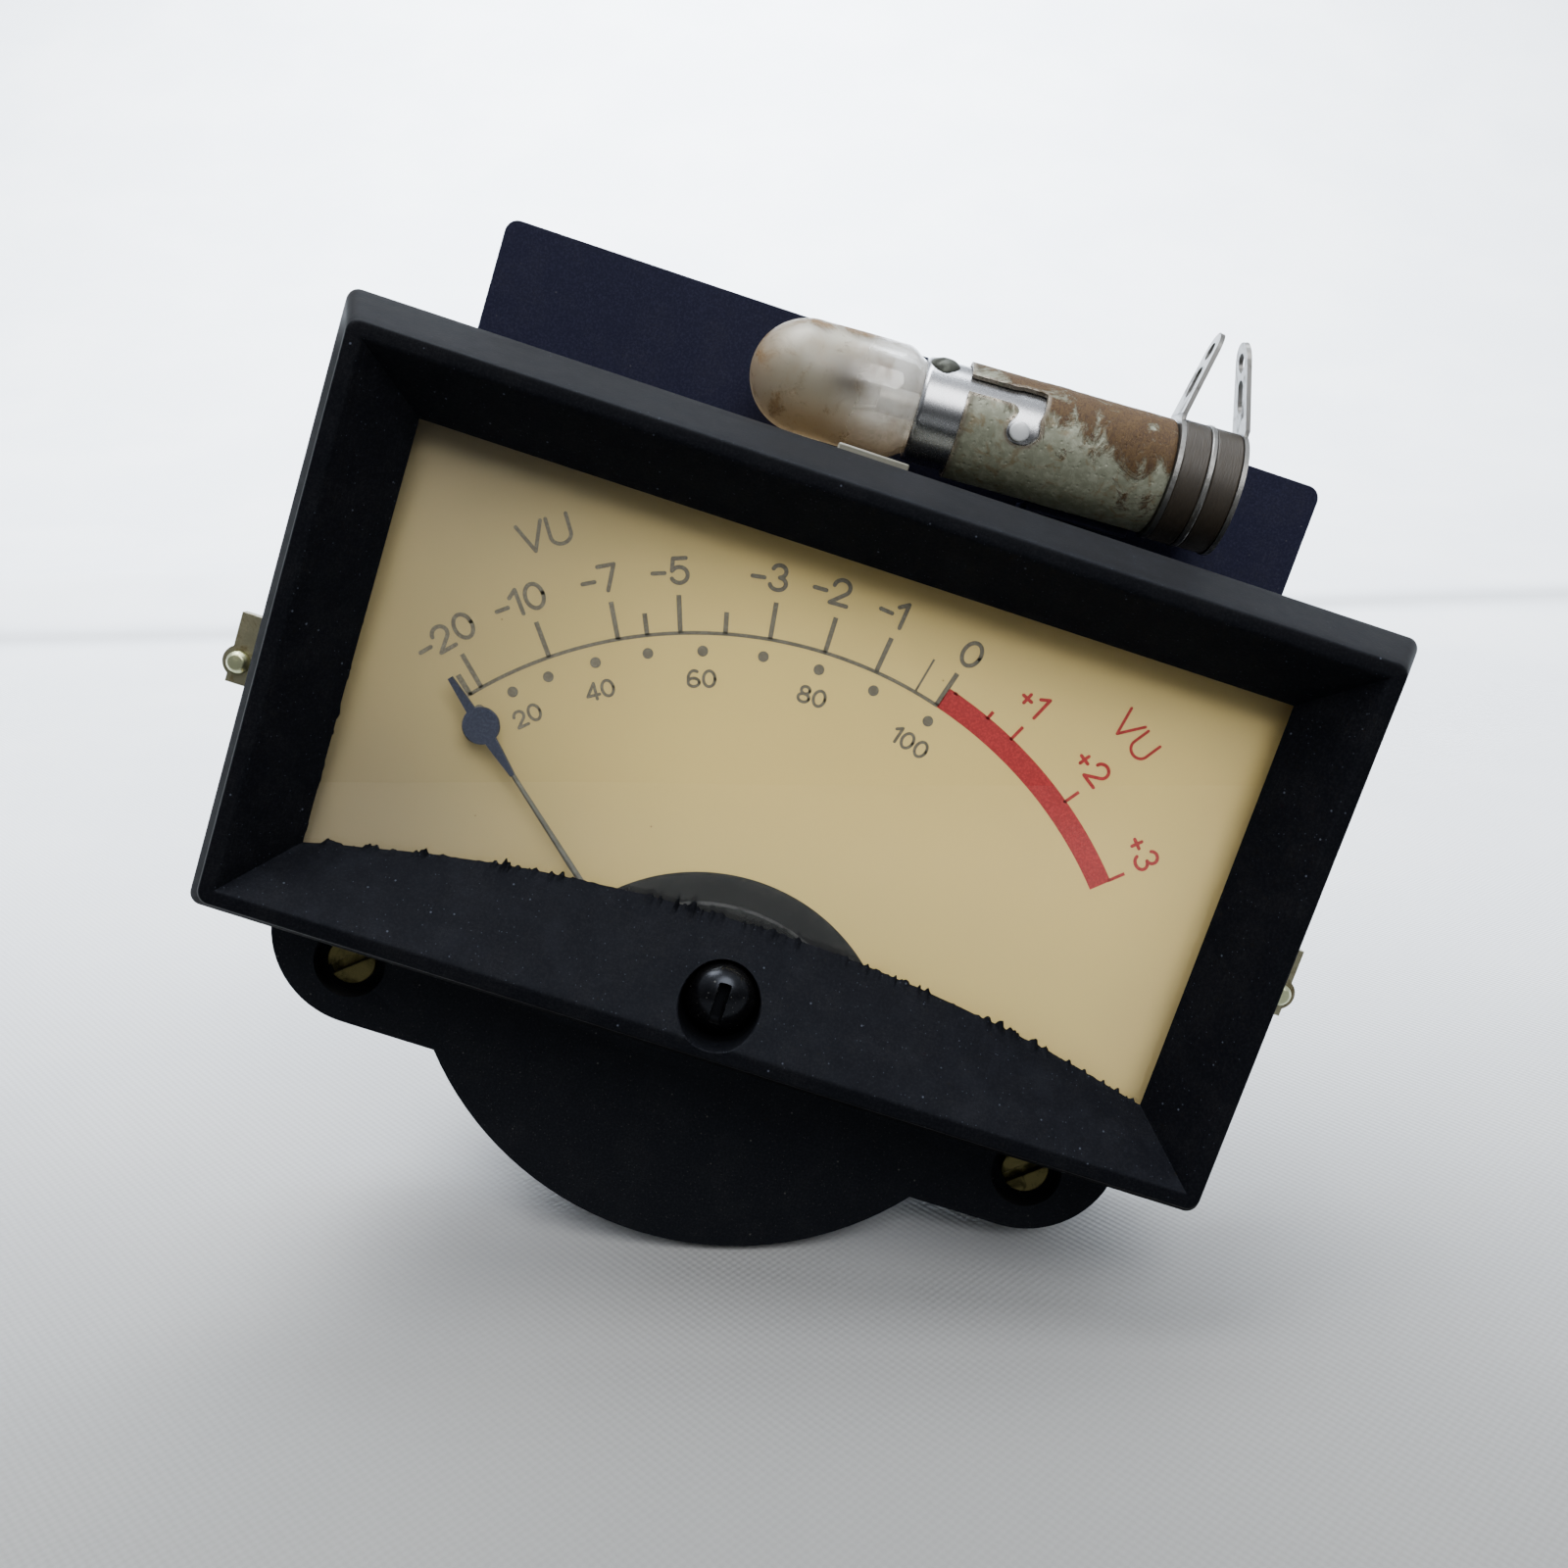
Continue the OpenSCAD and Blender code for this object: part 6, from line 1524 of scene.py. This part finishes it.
class MeterOperator:
    """Shared run of the operators: the builder raises if it can't finish."""

    bl_options = {"REGISTER", "UNDO"}

    def execute(self, context):
        """Builds the pieces."""
        self.build()
        return {"FINISHED"}


class METER_OT_finishes(MeterOperator, bpy.types.Operator):
    """Makes the shared effects and finishes"""

    bl_idname = "meter.finishes"
    bl_label = "Finishes"

    @staticmethod
    def build():
        make_effects()
        FINISH.update(make_finishes())


class METER_OT_bezel(MeterOperator, bpy.types.Operator):
    """Builds the bezel with its ragged sill and the adjuster's recess"""

    bl_idname = "meter.bezel"
    bl_label = "Bezel"
    build = staticmethod(build_bezel)


class METER_OT_dial(MeterOperator, bpy.types.Operator):
    """Builds the dial and its printed scale"""

    bl_idname = "meter.dial"
    bl_label = "Dial"
    build = staticmethod(build_dial)


class METER_OT_pointer(MeterOperator, bpy.types.Operator):
    """Builds the pointer and its tip"""

    bl_idname = "meter.pointer"
    bl_label = "Pointer"
    build = staticmethod(build_pointer)


class METER_OT_adjuster(MeterOperator, bpy.types.Operator):
    """Builds the zero adjuster"""

    bl_idname = "meter.adjuster"
    bl_label = "Zero adjuster"
    build = staticmethod(build_adjuster)


class METER_OT_front(MeterOperator, bpy.types.Operator):
    """Finishes the front case, cap, pane and light window"""

    bl_idname = "meter.front"
    bl_label = "Front case"
    build = staticmethod(build_front)


class METER_OT_plate(MeterOperator, bpy.types.Operator):
    """Finishes the back plate and its fixings"""

    bl_idname = "meter.plate"
    bl_label = "Back plate"
    build = staticmethod(build_plate)


class METER_OT_movement(MeterOperator, bpy.types.Operator):
    """Finishes the moving-coil movement"""

    bl_idname = "meter.movement"
    bl_label = "Movement"
    build = staticmethod(build_movement)


class METER_OT_rear(MeterOperator, bpy.types.Operator):
    """Finishes the rear case and terminals"""

    bl_idname = "meter.rear"
    bl_label = "Rear case"
    build = staticmethod(build_rear)


class METER_OT_clamps(MeterOperator, bpy.types.Operator):
    """Finishes the side clamps"""

    bl_idname = "meter.clamps"
    bl_label = "Side clamps"
    build = staticmethod(build_clamps)


class METER_OT_lamp(MeterOperator, bpy.types.Operator):
    """Builds the lamp"""

    bl_idname = "meter.lamp"
    bl_label = "Lamp"
    build = staticmethod(build_lamp)


class METER_OT_socket(MeterOperator, bpy.types.Operator):
    """Builds the lamp's socket"""

    bl_idname = "meter.socket"
    bl_label = "Lamp socket"
    build = staticmethod(build_socket)


class METER_OT_stage(MeterOperator, bpy.types.Operator):
    """Lays the sheet, lights and camera"""

    bl_idname = "meter.stage"
    bl_label = "Stage"
    build = staticmethod(build_stage)


OPERATORS = (METER_OT_finishes, METER_OT_stage, METER_OT_bezel, METER_OT_dial, METER_OT_pointer,
             METER_OT_adjuster, METER_OT_front, METER_OT_plate, METER_OT_movement, METER_OT_rear,
             METER_OT_clamps, METER_OT_lamp, METER_OT_socket)


class METER_PT_pieces(bpy.types.Panel):
    """Lists the operators and the values they use"""

    bl_label = "Panel meter"
    bl_space_type = "VIEW_3D"
    bl_region_type = "UI"
    bl_category = "Meter"

    def draw(self, context):
        """Draws the buttons and the values."""
        for operator in OPERATORS:
            self.layout.operator(operator.bl_idname)
        scene = context.scene
        for group, holder in ((MeterSizes, scene.meter_sizes), (MeterColours, scene.meter_colours)):
            for key in group.__annotations__:
                self.layout.prop(holder, key)


CLASSES = (MeterSizes, MeterColours, *OPERATORS, METER_PT_pieces)


def register():
    """Registers the classes and the scene's values."""
    for each in CLASSES:
        bpy.utils.register_class(each)
    bpy.types.Scene.meter_sizes = PointerProperty(type=MeterSizes)
    bpy.types.Scene.meter_colours = PointerProperty(type=MeterColours)


def unregister():
    """Removes them again."""
    del bpy.types.Scene.meter_sizes
    del bpy.types.Scene.meter_colours
    for each in reversed(CLASSES):
        bpy.utils.unregister_class(each)


def main():
    """Builds everything in order."""
    register()
    for operator in OPERATORS:
        group, name = operator.bl_idname.split(".")
        getattr(getattr(bpy.ops, group), name)()


if __name__ == "__main__":
    main()
